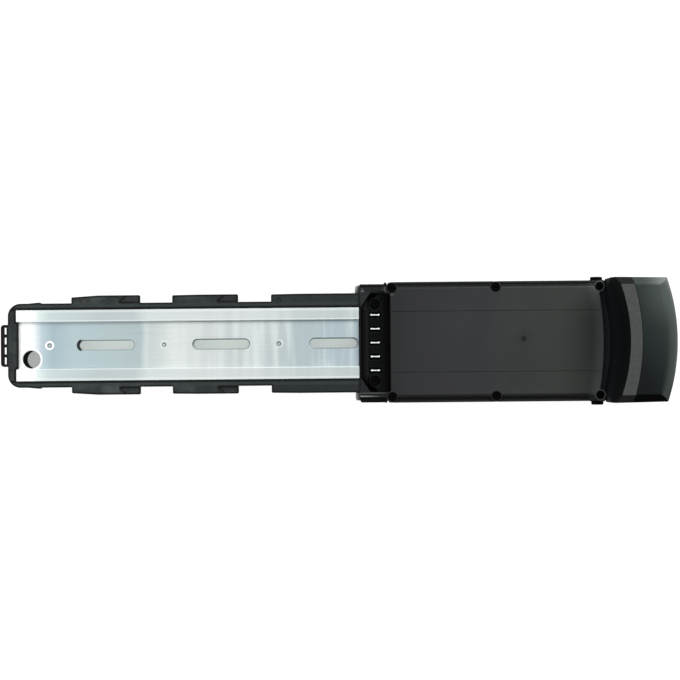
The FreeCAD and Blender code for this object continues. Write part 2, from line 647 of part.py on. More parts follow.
def make_rail_tray():
    blank = centred_block("tray_blank", TRAY, "tray_bottom", TRAY_LENGTH, "tray_width", "tray_height")
    cornered = eased("tray_cornered", blank, "Fillet",
                     lambda edge, box: upright(edge) and near(edge.BoundBox.XMin, box.XMin), "tray_corner")
    rounded = eased("tray_rounded", cornered, "Fillet",
                    lambda edge, box: level_at(edge, box.ZMax) and not flat_end(edge, box), "rim_round")
    rail_bed = centred_block("rail_bed", f"{RAIL} - fit_gap / 2", RAIL_SEAT,
                             f"{BOX} - {RAIL} + fit_gap / 2 + {PAST}", f"{RAIL_WIDTH} + 2 * fit_gap",
                             "tray_height")
    channel = carve("tray_channel", rounded, [rail_bed])

    additions = [channel, lift_loop()] + tray_ribs()
    lip_bottom = f"{RAIL_TOP} + fit_gap / 2"
    additions.append(centred_block("end_lip_bar", f"{RAIL} - {PAST}", lip_bottom, f"end_lip + {PAST}",
                                   f"{RAIL_WIDTH} - 2 * ledge_width - 2 * fit_gap",
                                   f"{TRAY_TOP} - ({lip_bottom})"))
    for number in (1, 2, 3):
        additions += both_sides(f"wing_{number}", wing(number))

    barb = padded("guide_barb", "XY_Plane", [
        (f"{TRAY} + barb_start", f"tray_width / 2 - {PAST}"),
        (f"{TRAY} + barb_start", "tray_width / 2 - barb_height"),
        (f"{TRAY} + barb_end", "tray_width / 2 + barb_height"),
        (f"{TRAY} + barb_end", f"tray_width / 2 - {PAST}"),
    ], "tray_height")
    additions += both_sides("guide_barb", place(barb, 0, 0, "tray_bottom"))

    additions.append(centred_block("apron", f"{BOX} - apron_thickness", "apron_bottom", "apron_thickness",
                                   "tray_width", f"tray_bottom - apron_bottom + {PAST}"))
    post_height = f"tray_bottom - strike_thickness + {PAST}"
    additions.append(rod("lock_socket", LOCK_X, "-lock_offset", "strike_thickness",
                         "lock_radius + lock_wall", post_height))
    for i, y in enumerate(STRIKE_Y, start=1):
        additions.append(rod(f"strike_post_{i}", LOCK_X, y, "strike_thickness",
                             "small_screw_radius + boss_wall", post_height))
    for i, x in enumerate(RAIL_SCREW_X, start=1):
        additions.append(rod(f"rail_post_{i}", x, 0, f"{RAIL_TOP} - rail_screw_length - {PAST}",
                             "rail_screw_radius + boss_wall",
                             f"rail_screw_length + {PAST} + tray_bottom - {RAIL_TOP} + {PAST}"))

    cutters = slots("tray_slot") + [
        rod("lock_bore", LOCK_X, "-lock_offset", 0, "lock_radius", f"{RAIL_TOP}"),
    ]
    for i, x in enumerate(RAIL_SCREW_X, start=1):
        cutters.append(rod(f"rail_pilot_{i}", x, 0, f"{RAIL_TOP} - rail_screw_length", "rail_screw_radius",
                           "rail_screw_length"))
    for i, y in enumerate(STRIKE_Y, start=1):
        cutters.append(rod(f"strike_pilot_{i}", LOCK_X, y, 0, "small_screw_radius", "cover_screw_length"))
    for i, y in enumerate(JOINT_Y, start=1):
        cutters.append(rod(f"joint_pilot_{i}", f"{BOX} + {PAST}", y, "joint_rise", "joint_screw_radius",
                           f"joint_screw_length - shell_wall + {PAST}", "-X"))
    for number in (1, 2):
        cutters += both_sides(f"wing_{number}_ramp", wing_ramp(number))
    cutters.append(rod("ejector_mark", f"{TRAY} + wing_3_start * {TRAY_LENGTH} + mark_start",
                       "tray_width / 2 + mark_offset", f"{TRAY_TOP} - mark_depth", "mark_radius",
                       "tray_height"))
    keep(carve("tray_finished", join("tray_plastic", additions), cutters), "rail_tray")


def make_rail_plate():
    """A flat extrusion with a raised ledge along each side and a relief groove under each ledge."""
    half = f"{RAIL_WIDTH} / 2"
    inner = f"{RAIL_WIDTH} / 2 - ledge_width"
    high = "rail_thickness + ledge_rise"
    groove_out = f"{RAIL_WIDTH} / 2 - (ledge_width - groove_width) / 2"
    groove_in = f"{RAIL_WIDTH} / 2 - (ledge_width + groove_width) / 2"
    right_half = [
        (groove_in, 0), (groove_in, "ledge_rise"), (groove_out, "ledge_rise"), (groove_out, 0),
        (half, 0), (half, high), (inner, high), (inner, "rail_thickness"),
    ]
    left_half = [(f"-({y})", z) for y, z in reversed(right_half)]
    body = padded("rail_profile", "YZ_Plane", right_half + left_half, RAIL_LENGTH)
    place(body, RAIL, 0, RAIL_SEAT)

    def ledge_edge(edge, box):
        return lengthwise(edge) and near(edge.BoundBox.ZMin, box.ZMax)
    extrusion = eased("rail_extrusion", body, "Fillet", ledge_edge, "ledge_round")

    cutters = slots("rail_slot")
    cutters.append(rod("rail_lock_hole", LOCK_X, "-lock_offset", f"{RAIL_SEAT} - {PAST}", "lock_radius",
                       f"rail_thickness + {2 * PAST}"))
    for i, x in enumerate(RAIL_SCREW_X, start=1):
        cutters.append(rod(f"rail_hole_{i}", x, 0, f"{RAIL_SEAT} - {PAST}", "rail_screw_radius",
                           f"rail_thickness + {PAST}"))
        sink = document.addObject("Part::Cone", f"rail_sink_{i}")
        bind(sink, Radius1="rail_screw_radius", Radius2="rail_head_radius",
             Height="rail_head_radius - rail_screw_radius")
        cutters.append(place(sink, x, 0, f"{RAIL_TOP} - (rail_head_radius - rail_screw_radius)"))
    machined = carve("rail_machined", extrusion, cutters)
    middle_top = sheet.get("tray_bottom") + sheet.get("tray_floor") + sheet.get("rail_thickness")
    sink_radius = sheet.get("rail_head_radius")

    def opening_rim(edge, box):
        across = edge.BoundBox.YLength
        in_middle = level_at(edge, middle_top) and abs(edge.CenterOfMass.y) < box.YMax / 2
        return in_middle and across < box.YMax and not near(edge.Length, 2 * math.pi * sink_radius)
    keep(eased("rail_finished", machined, "Chamfer", opening_rim, "rail_break"), "rail_plate")


def make_tray_fasteners():
    rail_screws = screw_set(
        "rail_screw_set", flush_screw,
        ("rail_screw_radius", "rail_screw_length", "rail_head_radius", "small_socket"),
        [(x, 0, RAIL_TOP) for x in RAIL_SCREW_X])
    keep(rail_screws, "rail_screws")

    corner = "small_screw_radius + boss_wall"
    plate = block("strike_blank", f"{LOCK_X} - lock_radius - lock_wall", f"{STRIKE_Y[0]} - ({corner})", 0,
                  "2 * (lock_radius + lock_wall)", f"2 * (ear_offset + {corner})", "strike_thickness")
    rounded = eased("strike_rounded", plate, "Fillet", lambda edge, box: upright(edge), "strike_corner")
    cutters = [rod("strike_bore", LOCK_X, "-lock_offset", -PAST, "lock_radius",
                   f"strike_thickness + {2 * PAST}")]
    for i, y in enumerate(STRIKE_Y, start=1):
        cutters.append(rod(f"strike_hole_{i}", LOCK_X, y, -PAST, "small_screw_radius",
                           f"strike_thickness + {2 * PAST}"))
        sink = document.addObject("Part::Cone", f"strike_sink_{i}")
        bind(sink, Radius1="small_head_radius", Radius2="small_screw_radius",
             Height="small_head_radius - small_screw_radius")
        cutters.append(place(sink, LOCK_X, y, 0))
    keep(carve("strike_finished", rounded, cutters), "lock_strike_plate")

    strike_screws = screw_set(
        "strike_screw_set", flush_screw,
        ("small_screw_radius", "cover_screw_length", "small_head_radius", "small_socket"),
        [(LOCK_X, y, 0) for y in STRIKE_Y], "-Z")
    keep(strike_screws, "strike_screws")

    joint_screws = screw_set(
        "joint_screw_set", pan_screw,
        ("joint_screw_radius", "joint_screw_length", "joint_head_radius", "joint_head_height",
         "joint_socket"),
        [(f"{BOX} + shell_wall", y, "joint_rise") for y in JOINT_Y], "X")
    keep(joint_screws, "tray_screws")


# Controller box.

COVER_SCREW_RUN = f"({COVER_LENGTH} - cover_screw_inset - cover_screw_end)"
COVER_SCREW_X = [f"({COVER} + cover_screw_inset + {share} * {COVER_SCREW_RUN})" for share in (0, 0.5, 1)]
COVER_SCREWS = [(x, f"({side} * (box_width / 2 - cover_screw_side))") for x in COVER_SCREW_X
                for side in (-1, 1)]
HOOD_SCREW_FAR_X = f"({RIGHT} - hood_screw_inset - hood_post_radius)"
HOOD_SCREW_NEAR_X = f"({HOOD_SCREW_FAR_X} - hood_screw_run)"
HOOD_SCREWS = [(x, f"({side} * (box_width / 2 - {inset}))")
               for x, inset in ((HOOD_SCREW_NEAR_X, "hood_screw_near"), (HOOD_SCREW_FAR_X, "hood_screw_far"))
               for side in (-1, 1)]


def connector_outline(name, grow, end_grow, bottom, height):
    """The connector block's outline: square towards the cover, cut corners towards the tray."""
    start = f"{BLOCK} - ({grow})"
    end = f"{BLOCK} + block_length + ({end_grow})"
    half = f"({BLOCK_WIDTH} / 2 + ({grow}))"
    corners = [
        (end, f"-{half}"), (end, half),
        (f"{start} + block_corner_run", half), (start, f"{half} - block_corner_side"),
        (start, f"-{half} + block_corner_side"), (f"{start} + block_corner_run", f"-{half}"),
    ]
    return place(padded(name, "XY_Plane", corners, height), 0, 0, bottom)


def shell_solid(name, start, inset, bottom, height):
    """The box's plan, square at its front and round at the hood end, drawn in by an inset."""
    straight = centred_block(f"{name}_plan", start, bottom, f"{RIGHT} - {start}",
                             f"box_width - 2 * ({inset})", height)
    end = rod(f"{name}_end", f"{RIGHT} - end_radius", 0, bottom, f"end_radius - ({inset})", height)
    return overlap(name, [straight, end])


def make_lower_shell():
    blank = shell_solid("shell_blank", BOX, 0, 0, "shell_height")

    def side_corner(edge, box):
        return upright(edge) and abs(edge.BoundBox.YMin) > box.YMax / 2
    cornered = eased("shell_cornered", blank, "Fillet", side_corner, "shell_corner")
    outside = eased("shell_outside", cornered, "Fillet",
                    lambda edge, box: level_at(edge, box.ZMin), "shell_round")
    above = f"shell_height + {PAST}"
    hollow_start = f"({COVER} + shell_wall)"
    partition = f"({HOOD} + shell_wall)"

    front_top = centred_block("front_top", f"{BOX} - {PAST}", FRONT_TOP, f"cover_start + {PAST}",
                              f"box_width + {2 * PAST}", above)
    front_side = block("front_side", f"{BOX} - {PAST}", "box_width / 2 - front_step", -PAST,
                       f"cover_start - lobe_radius + {PAST}", "2 * front_step", f"{above} + {PAST}")
    controller_bay = centred_block("controller_bay", hollow_start, "shell_floor", f"{HOOD} - {hollow_start}",
                                   "box_width - 2 * shell_wall", above)
    rear_bay = shell_solid("rear_bay", partition, "shell_wall", "shell_floor", above)
    under_seat = centred_block("under_seat", f"{BOX} + shell_wall", "shell_floor", "cover_start",
                               "box_width - 2 * (shell_wall + front_step)", "deck_bottom - shell_floor")
    recess = connector_outline("connector_recess", "block_clearance", "block_gutter", "deck_top", above)
    window = centred_block("connector_window", f"{BLADE_X} - window_length / 2", f"deck_bottom - {PAST}",
                           "window_length", WINDOW_WIDTH, f"deck_top - deck_bottom + {2 * PAST}")
    hollow = carve("shell_hollow", outside, [front_top, front_side, controller_bay, rear_bay, under_seat,
                                             recess, window])

    additions = [hollow]
    deck_start = f"({HOOD} - deck_length)"
    deck_end = f"({HOOD_FOOT} + hood_wall + {PAST})"
    additions.append(centred_block("rear_deck", deck_start, "shell_height - deck_thickness",
                                   f"{deck_end} - {deck_start}", "box_width - shell_wall", "deck_thickness"))
    for i, (x, y) in enumerate(COVER_SCREWS, start=1):
        additions.append(rod(f"cover_post_{i}", x, y, f"shell_floor - {PAST}", "insert_boss",
                             f"shell_height - shell_floor + {PAST}"))
    for i, (x, y) in enumerate(HOOD_SCREWS, start=1):
        additions.append(rod(f"hood_tower_{i}", x, y, f"shell_floor - {PAST}", "hood_post_radius",
                             f"shell_height - shell_floor + {PAST}"))
    side_boss = rod("side_boss", SIDE_SCREW_X, "box_width / 2 - shell_wall / 2", "side_screw_rise",
                    "side_insert_radius + side_boss_wall", "side_boss_length + shell_wall / 2", "-Y")
    additions += both_sides("side_boss", side_boss)
    for i, side in enumerate((-1, 1), start=1):
        additions.append(rod(f"block_post_{i}", BLADE_X, f"{side} * {BLOCK_SCREW_Y}",
                             f"{BLOCK_SEAT} - gasket_thickness - cover_screw_length",
                             "small_screw_radius + boss_wall", f"cover_screw_length - {PAST}"))
    lip = block("cover_lip", COVER, "box_width / 2 - lip_width", f"shell_height - {PAST}", COVER_LENGTH,
                "lip_width", f"lip_height + {PAST}")
    additions += both_sides("cover_lip", lip)
    plastic = join("shell_plastic", additions)

    cutters = []
    for i, (x, y) in enumerate(COVER_SCREWS, start=1):
        cutters.append(rod(f"lip_gap_{i}", x, y, "shell_height", "lobe_radius + fit_gap", above))
    notch_x = f"{COVER} - notch_gap"
    notch = padded("side_notch", "XY_Plane", [
        (notch_x, "box_width / 2 - notch_depth"),
        (f"{notch_x} + notch_width / 2", f"box_width / 2 + {PAST}"),
        (f"{notch_x} - notch_width / 2", f"box_width / 2 + {PAST}"),
    ], f"shell_height + {2 * PAST}")
    cutters += both_sides("side_notch", place(notch, 0, 0, -PAST))
    cutters.append(block("cable_duct", f"{BOX} - {PAST}", f"-box_width / 2 - {PAST}",
                         f"{FRONT_TOP} - duct_depth", f"cover_start - lobe_radius + {PAST}",
                         f"duct_width + {PAST}", "shell_height"))
    for i, (x, y) in enumerate(COVER_SCREWS, start=1):
        cutters.append(rod(f"insert_seat_{i}", x, y, "shell_height - insert_length", "insert_radius", above))
        cutters.append(rod(f"insert_relief_{i}", x, y, "shell_height - 2 * insert_length",
                           "small_screw_radius + fit_gap", above))
    for i, (x, y) in enumerate(HOOD_SCREWS, start=1):
        cutters.append(rod(f"hood_screw_hole_{i}", x, y, -PAST, SMALL_HOLE,
                           f"{above} + {PAST}"))
        cutters.append(rod(f"hood_screw_head_{i}", x, y, -PAST, "small_head_radius + fit_gap",
                           f"2 * small_head_height + {PAST}"))
    for i, y in enumerate(JOINT_Y, start=1):
        cutters.append(rod(f"joint_hole_{i}", f"{BOX} - {PAST}", y, "joint_rise", "joint_screw_radius",
                           f"shell_wall + {2 * PAST}", "X"))
    side_bore = rod("side_bore", SIDE_SCREW_X, f"box_width / 2 + {PAST}", "side_screw_rise",
                    "side_screw_radius + fit_gap / 2", f"side_screw_length + {PAST}", "-Y")
    side_seat = rod("side_seat", SIDE_SCREW_X, "box_width / 2 - shell_wall", "side_screw_rise",
                    "side_insert_radius", f"side_boss_length + {PAST}", "-Y")
    cutters += both_sides("side_bore", side_bore) + both_sides("side_seat", side_seat)
    for i, side in enumerate((-1, 1), start=1):
        cutters.append(rod(f"block_pilot_{i}", BLADE_X, f"{side} * {BLOCK_SCREW_Y}",
                           f"deck_top - cover_screw_length + {PAST}", "small_screw_radius",
                           "cover_screw_length"))
    for i, share in enumerate(BAR_GROOVES, start=1):
        y = f"{BLOCK_WIDTH} / 2 + {share} * bar_width"
        bar = block(f"bar_groove_{i}", f"{BOX} - {PAST}", y, f"{FRONT_TOP} - bar_groove_depth",
                    "cover_start - lobe_radius - bar_groove", "bar_groove", "shell_height")
        cutters += both_sides(f"bar_groove_{i}", bar)
    cutters.append(rod("outlet_hole", OUTLET_X, 0, -PAST, "outlet_radius", f"shell_floor + {2 * PAST}"))
    cutters.append(rod("outlet_recess_hole", OUTLET_X, 0, -PAST, "outlet_radius + outlet_lip + fit_gap",
                       f"outlet_recess + {PAST}"))
    keep(carve("shell_finished", plastic, cutters), "lower_shell")


def cover_plate(name, inset, bottom, height):
    """The cover's plan without its bosses, drawn in by an inset."""
    plate = centred_block(f"{name}_plate", f"{COVER} + ({inset})", bottom, COVER_LENGTH,
                          f"{COVER_WIDTH} - 2 * ({inset})", height)
    end = rod(f"{name}_end", f"{COVER_END} - cover_end_radius", 0, bottom,
              f"cover_end_radius - ({inset})", height)
    return overlap(f"{name}_middle", [plate, end])


def cover_lobes(name, inset, bottom, height):
    """The round bosses about the cover's screws, which reach the box's sides."""
    return [rod(f"{name}_lobe_{i}", x, y, bottom, f"lobe_radius - ({inset})", height)
            for i, (x, y) in enumerate(COVER_SCREWS, start=1)]


def make_top_cover():
    plate = cover_plate("cover", 0, COVER_SEAT, "cover_thickness")
    rebate = block("cover_rebate", f"{COVER} - {PAST}", f"{COVER_WIDTH} / 2 - rebate_width",
                   f"{COVER_TOP} - rebate_depth", f"{COVER_LENGTH} + {2 * PAST}", f"rebate_width + {PAST}",
                   "cover_thickness")
    stepped = carve("cover_stepped", plate, both_sides("cover_rebate", rebate))
    rounded = eased("cover_rounded", stepped, "Fillet",
                    lambda edge, box: lengthwise(edge) and level_at(edge, box.ZMax), "cover_round")
    lobes = []
    for i, lobe in enumerate(cover_lobes("cover", 0, COVER_SEAT, "cover_thickness"), start=1):
        lobes.append(eased(f"cover_boss_{i}", lobe, "Fillet", lambda edge, box: level_at(edge, box.ZMax),
                           "lobe_round"))
    outline = join("cover_outline", [rounded] + lobes)
    relief = centred_block("cover_relief", f"{COVER} + cover_land", f"{COVER_SEAT} - {PAST}",
                           f"{COVER_LENGTH} - 2 * cover_land - deck_length", "box_width - 4 * cover_land",
                           f"cover_thickness - cover_skin + {PAST}")
    line = block("cover_line", f"{COVER} - {PAST}", "cover_line_spread - cover_line_width / 2",
                 f"{COVER_TOP} - cover_line_depth", f"{COVER_LENGTH} + {2 * PAST}", "cover_line_width",
                 "cover_thickness")
    cutters = [relief] + both_sides("cover_line", line)
    cutters.append(rod("gate_dimple", f"{COVER_END} - gate_run", "gate_offset",
                       f"{COVER_TOP} - cover_line_depth", "gate_radius", "cover_thickness"))
    for i, (x, y) in enumerate(COVER_SCREWS, start=1):
        cutters.append(rod(f"cover_hole_{i}", x, y, f"{COVER_SEAT} - {PAST}", SMALL_HOLE,
                           f"cover_thickness + {2 * PAST}"))
        cutters.append(rod(f"cover_recess_{i}", x, y, f"{COVER_TOP} - screw_recess_depth",
                           "screw_recess_radius", "cover_thickness"))
    keep(carve("cover_finished", outline, cutters), "top_cover")

    gasket_plate = cover_plate("gasket", "gasket_inset", "shell_height", "gasket_thickness")
    rim = "(gasket_inset + gasket_width)"
    gasket_inside = centred_block("gasket_inside", f"{COVER} + {rim}", f"shell_height - {PAST}",
                                  f"{COVER_LENGTH} - deck_length / 2 - gasket_width",
                                  f"{COVER_WIDTH} - 2 * {rim}", f"gasket_thickness + {2 * PAST}")
    ring = carve("gasket_ring", gasket_plate, [gasket_inside])
    pads = cover_lobes("gasket", "gasket_inset", "shell_height", "gasket_thickness")
    holes = [rod(f"gasket_hole_{i}", x, y, f"shell_height - {PAST}", SMALL_HOLE,
                 f"gasket_thickness + {2 * PAST}") for i, (x, y) in enumerate(COVER_SCREWS, start=1)]
    keep(carve("gasket_finished", join("gasket_joined", [ring] + pads), holes), "cover_gasket")

    head_seat = f"{COVER_TOP} - screw_recess_depth"
    screws = screw_set("cover_screw_set", pan_screw, small_screw("cover_screw_length"),
                       [(x, y, head_seat) for x, y in COVER_SCREWS])
    keep(screws, "cover_screws")

    inserts = []
    for i, (x, y) in enumerate(COVER_SCREWS, start=1):
        sleeve = turned(f"cover_insert_{i}", [
            ("small_screw_radius", "-insert_length"), ("insert_radius", "-insert_length"),
            ("insert_radius", 0), ("small_screw_radius", 0)])
        inserts.append(place(sleeve, x, y, "shell_height"))
    keep(group("cover_insert_set", inserts), "cover_inserts")


def make_connector():
    solid = connector_outline("connector_solid", 0, 0, BLOCK_SEAT, f"block_top - {BLOCK_SEAT}")

    def pack_side(edge, box):
        return level_at(edge, box.ZMax) and edge.BoundBox.XMax < box.Center.x and not lengthwise(edge)
    bevelled = eased("connector_bevelled", solid, "Chamfer", pack_side, "block_bevel")
    cutters = []
    for i in range(BLADES):
        y = f"({i} - {(BLADES - 1) / 2}) * {BLADE_PITCH}"
        cutters.append(block(f"blade_pocket_{i + 1}", f"{BLADE_X} - pocket_length / 2",
                             f"{y} - pocket_width / 2", "block_top - pocket_depth", "pocket_length",
                             "pocket_width", "block_top"))
        cutters.append(block(f"blade_slit_{i + 1}", f"{BLADE_X} - tail_length / 2",
                             f"{y} - blade_thickness / 2", 0, "tail_length", "blade_thickness", "block_top"))
    for i, side in enumerate((-1, 1), start=1):
        y = f"{side} * {BLOCK_SCREW_Y}"
        cutters.append(rod(f"block_hole_{i}", BLADE_X, y, 0, SMALL_HOLE, "block_top"))
        cutters.append(rod(f"block_recess_{i}", BLADE_X, y, "block_top - block_recess_depth",
                           "block_recess_radius", "block_top"))
    keep(carve("connector_finished", bevelled, cutters), "connector_block")

    seal_outline = connector_outline("seal_outline", "-gasket_inset", "-gasket_inset", "deck_top",
                                     "gasket_thickness")
    openings = [centred_block("seal_window", f"{BLADE_X} - window_length / 2", 0, "window_length",
                              WINDOW_WIDTH, "block_top")]
    for i, side in enumerate((-1, 1), start=1):
        openings.append(rod(f"seal_hole_{i}", BLADE_X, f"{side} * {BLOCK_SCREW_Y}", 0, SMALL_HOLE,
                            "block_top"))
    seal = carve("connector_seal", seal_outline, openings)
    keep(seal, "connector_gasket")

    head_seat = "block_top - block_recess_depth"
    length = f"{head_seat} - deck_top + cover_screw_length - {2 * PAST}"
    screws = screw_set("block_screw_set", pan_screw, small_screw(length),
                       [(BLADE_X, f"{side} * {BLOCK_SCREW_Y}", head_seat) for side in (-1, 1)])
    keep(screws, "connector_screws")

    for i in range(BLADES):
        half = "blade_length / 2"
        tail = "tail_length / 2"
        shoulder = "block_top - pocket_depth"
        tip = "blade_top - blade_thickness"
        blade = padded(f"blade_{i + 1}", "XZ_Plane", [
            (f"-{tail}", "blade_tail"), (tail, "blade_tail"), (tail, shoulder), (half, shoulder),
            (half, tip), (f"{half} - blade_thickness", "blade_top"), (f"{half} / 4", "blade_top"),
            (0, tip), (f"-{half} / 4", "blade_top"), (f"-{half} + blade_thickness", "blade_top"),
            (f"-{half}", tip), (f"-{half}", shoulder), (f"-{tail}", shoulder),
        ], "blade_thickness", midplane=True)
        beads = [rod(f"blade_bead_{i + 1}_{end}", f"{side} * ({half} - blade_bead)", 0, shoulder,
                     "blade_bead", f"{tip} - ({shoulder})") for end, side in enumerate((-1, 1), start=1)]
        beaded = join(f"beaded_blade_{i + 1}", [blade] + beads)
        place(beaded, BLADE_X, f"({i} - {(BLADES - 1) / 2}) * {BLADE_PITCH}", 0)
        keep(beaded, f"contact_blade_{i + 1}")


def make_side_fasteners():
    screws = []
    washers = []
    inserts = []
    for i, (side, along) in enumerate(((1, "Y"), (-1, "-Y")), start=1):
        face = f"{side} * box_width / 2"
        screw = pan_screw(f"side_screw_{i}", "side_screw_radius", "side_screw_length", "side_head_radius",
                          "side_head_height", "side_socket")
        head_seat = f"{face} + {side} * washer_thickness"
        screws.append(place(screw, SIDE_SCREW_X, head_seat, "side_screw_rise", along))
        washer = turned(f"side_washer_{i}", [
            ("side_screw_radius", 0), ("washer_radius", 0),
            ("washer_radius", "washer_thickness"), ("side_screw_radius", "washer_thickness")])
        washers.append(place(washer, SIDE_SCREW_X, face, "side_screw_rise", along))
        sleeve = turned(f"side_sleeve_{i}", [
            ("side_screw_radius", "-side_boss_length"), ("side_insert_radius", "-side_boss_length"),
            ("side_insert_radius", 0), ("side_screw_radius", 0)])
        inserts.append(place(sleeve, SIDE_SCREW_X, f"{face} - {side} * shell_wall", "side_screw_rise", along))
    keep(group("side_screw_set", screws), "side_screws")
    keep(group("side_washer_set", washers), "side_washers")
    keep(group("side_insert_set", inserts), "side_inserts")


def make_front_buffers():
    """Soft buffers on the box's front, low down beside the tray, for the frame of the rack."""
    near_side = "(tray_width / 2 + wing_reach + buffer_gap)"
    blank = block("buffer_blank", f"{BOX} - buffer_reach", near_side, "buffer_rise", "buffer_reach",
                  "buffer_width", "buffer_height")

    def outer_corner(edge, box):
        return upright(edge) and near(edge.BoundBox.XMin, box.XMin) and near(edge.BoundBox.YMin, box.YMax)
    cornered = eased("buffer_cornered", blank, "Fillet", outer_corner, "buffer_round")
    rounded = eased("buffer_rounded", cornered, "Fillet",
                    lambda edge, box: level_at(edge, box.ZMax) and not flat_end(edge, box), "rim_round")
    keep(group("buffer_set", both_sides("buffer", rounded)), "front_buffers")


# Controller and wiring inside the box.

PILLARS = [(f"({SPREADER} + pillar_inset + {share} * ({SPREADER_LENGTH} - 2 * pillar_inset))",
            f"({side} * ({SPREADER_WIDTH} / 2 - pillar_inset))") for share in (0, 1) for side in (-1, 1)]


def make_controller():
    plate = centred_block("spreader_plate", SPREADER, "shell_floor", SPREADER_LENGTH, SPREADER_WIDTH,
                          "spreader_thickness")
    pillars = [rod(f"pillar_{i}", x, y, "shell_floor", "pillar_radius", "board_rise - shell_floor")
               for i, (x, y) in enumerate(PILLARS, start=1)]
    taps = [rod(f"pillar_tap_{i}", x, y, "board_rise + board_thickness - cover_screw_length",
                "small_screw_radius", "cover_screw_length") for i, (x, y) in enumerate(PILLARS, start=1)]
    keep(carve("spreader_finished", join("spreader_blank", [plate] + pillars), taps), "heat_spreader")

    board = centred_block("board_plate", BOARD, "board_rise", BOARD_LENGTH, BOARD_WIDTH,
                          "board_thickness")
    holes = [rod(f"board_hole_{i}", x, y, f"board_rise - {PAST}", SMALL_HOLE,
                 f"board_thickness + {2 * PAST}") for i, (x, y) in enumerate(PILLARS, start=1)]
    keep(carve("board_finished", board, holes), "controller_board")

    screws = screw_set("board_screw_set", pan_screw, small_screw("cover_screw_length - board_thickness"),
                       [(x, y, BOARD_TOP) for x, y in PILLARS])
    keep(screws, "board_screws")

    transistors = []
    seat = "(shell_floor + spreader_thickness)"
    pitch = f"(({SPREADER_LENGTH} - 2 * transistor_run) / {TRANSISTORS - 1})"
    for i in range(TRANSISTORS):
        x = f"({SPREADER} + transistor_run + {i} * {pitch})"
        case = block(f"transistor_case_{i + 1}", f"{x} - transistor_width / 2", "-transistor_depth", seat,
                     "transistor_width", "transistor_depth", "transistor_thickness")
        leg = block(f"transistor_leg_{i + 1}", f"{x} - transistor_width / 4", "-transistor_thickness / 2",
                    f"{seat} + transistor_thickness / 2", "transistor_width / 2", "transistor_thickness",
                    f"board_rise - {seat} - transistor_thickness / 2")
        transistors.append(join(f"transistor_{i + 1}", [case, leg]))
    keep(group("transistor_set", transistors), "power_transistors")

    capacitors = []
    for i in range(CAPACITORS):
        y = f"({i} - {(CAPACITORS - 1) / 2}) * capacitor_pitch"
        can = rod(f"capacitor_{i + 1}", f"{BOARD} + {BOARD_LENGTH} / 2", y, f"{BOARD_TOP} + capacitor_radius",
                  "capacitor_radius", "capacitor_length", "X")
        capacitors.append(eased(f"capacitor_can_{i + 1}", can, "Fillet",
                                lambda edge, box: level_at(edge, box.ZMax), "capacitor_round"))
    keep(group("capacitor_set", capacitors), "smoothing_capacitors")

    header = centred_block("header_solid", f"{BOARD} + header_run", BOARD_TOP, "header_length",
                           "header_width", "header_height")
    header = eased("header_eased", header, "Chamfer", lambda edge, box: level_at(edge, box.ZMax),
                   "header_chamfer")
    keep(header, "signal_header")


def lead(name, y, radius):
    """A lead from a blade's foot to the underside of the board: along, round a quarter turn, then up."""
    start = f"({BLADE_X} + tail_length / 2)"
    up = f"({BOARD} + lead_bend / 2 + {radius})"
    low = f"(blade_tail + {radius})"
    along = rod(f"{name}_along", start, y, low, radius, f"{up} - lead_bend - {start}", "X")
    elbow = document.addObject("Part::Torus", f"{name}_elbow")
    elbow.Angle3 = 90
    bind(elbow, Radius1="lead_bend", Radius2=radius)
    place(elbow, f"{up} - lead_bend", y, f"{low} + lead_bend", "elbow")
    rise = rod(f"{name}_rise", up, y, f"{low} + lead_bend", radius, f"board_rise - {low} - lead_bend")
    return join(name, [along, elbow, rise])


def make_leads():
    rows = [f"({i - (BLADES - 1) / 2} * {BLADE_PITCH})" for i in range(BLADES)]
    keep(lead("negative_tube", rows[0], "lead_radius"), "negative_lead")
    keep(lead("positive_tube", rows[-1], "lead_radius"), "positive_lead")
    signals = [lead(f"signal_tube_{i}", y, "signal_lead_radius") for i, y in enumerate(rows[1:-1], start=1)]
    keep(group("signal_tube_set", signals), "signal_leads")


# Hood at the end of the box.

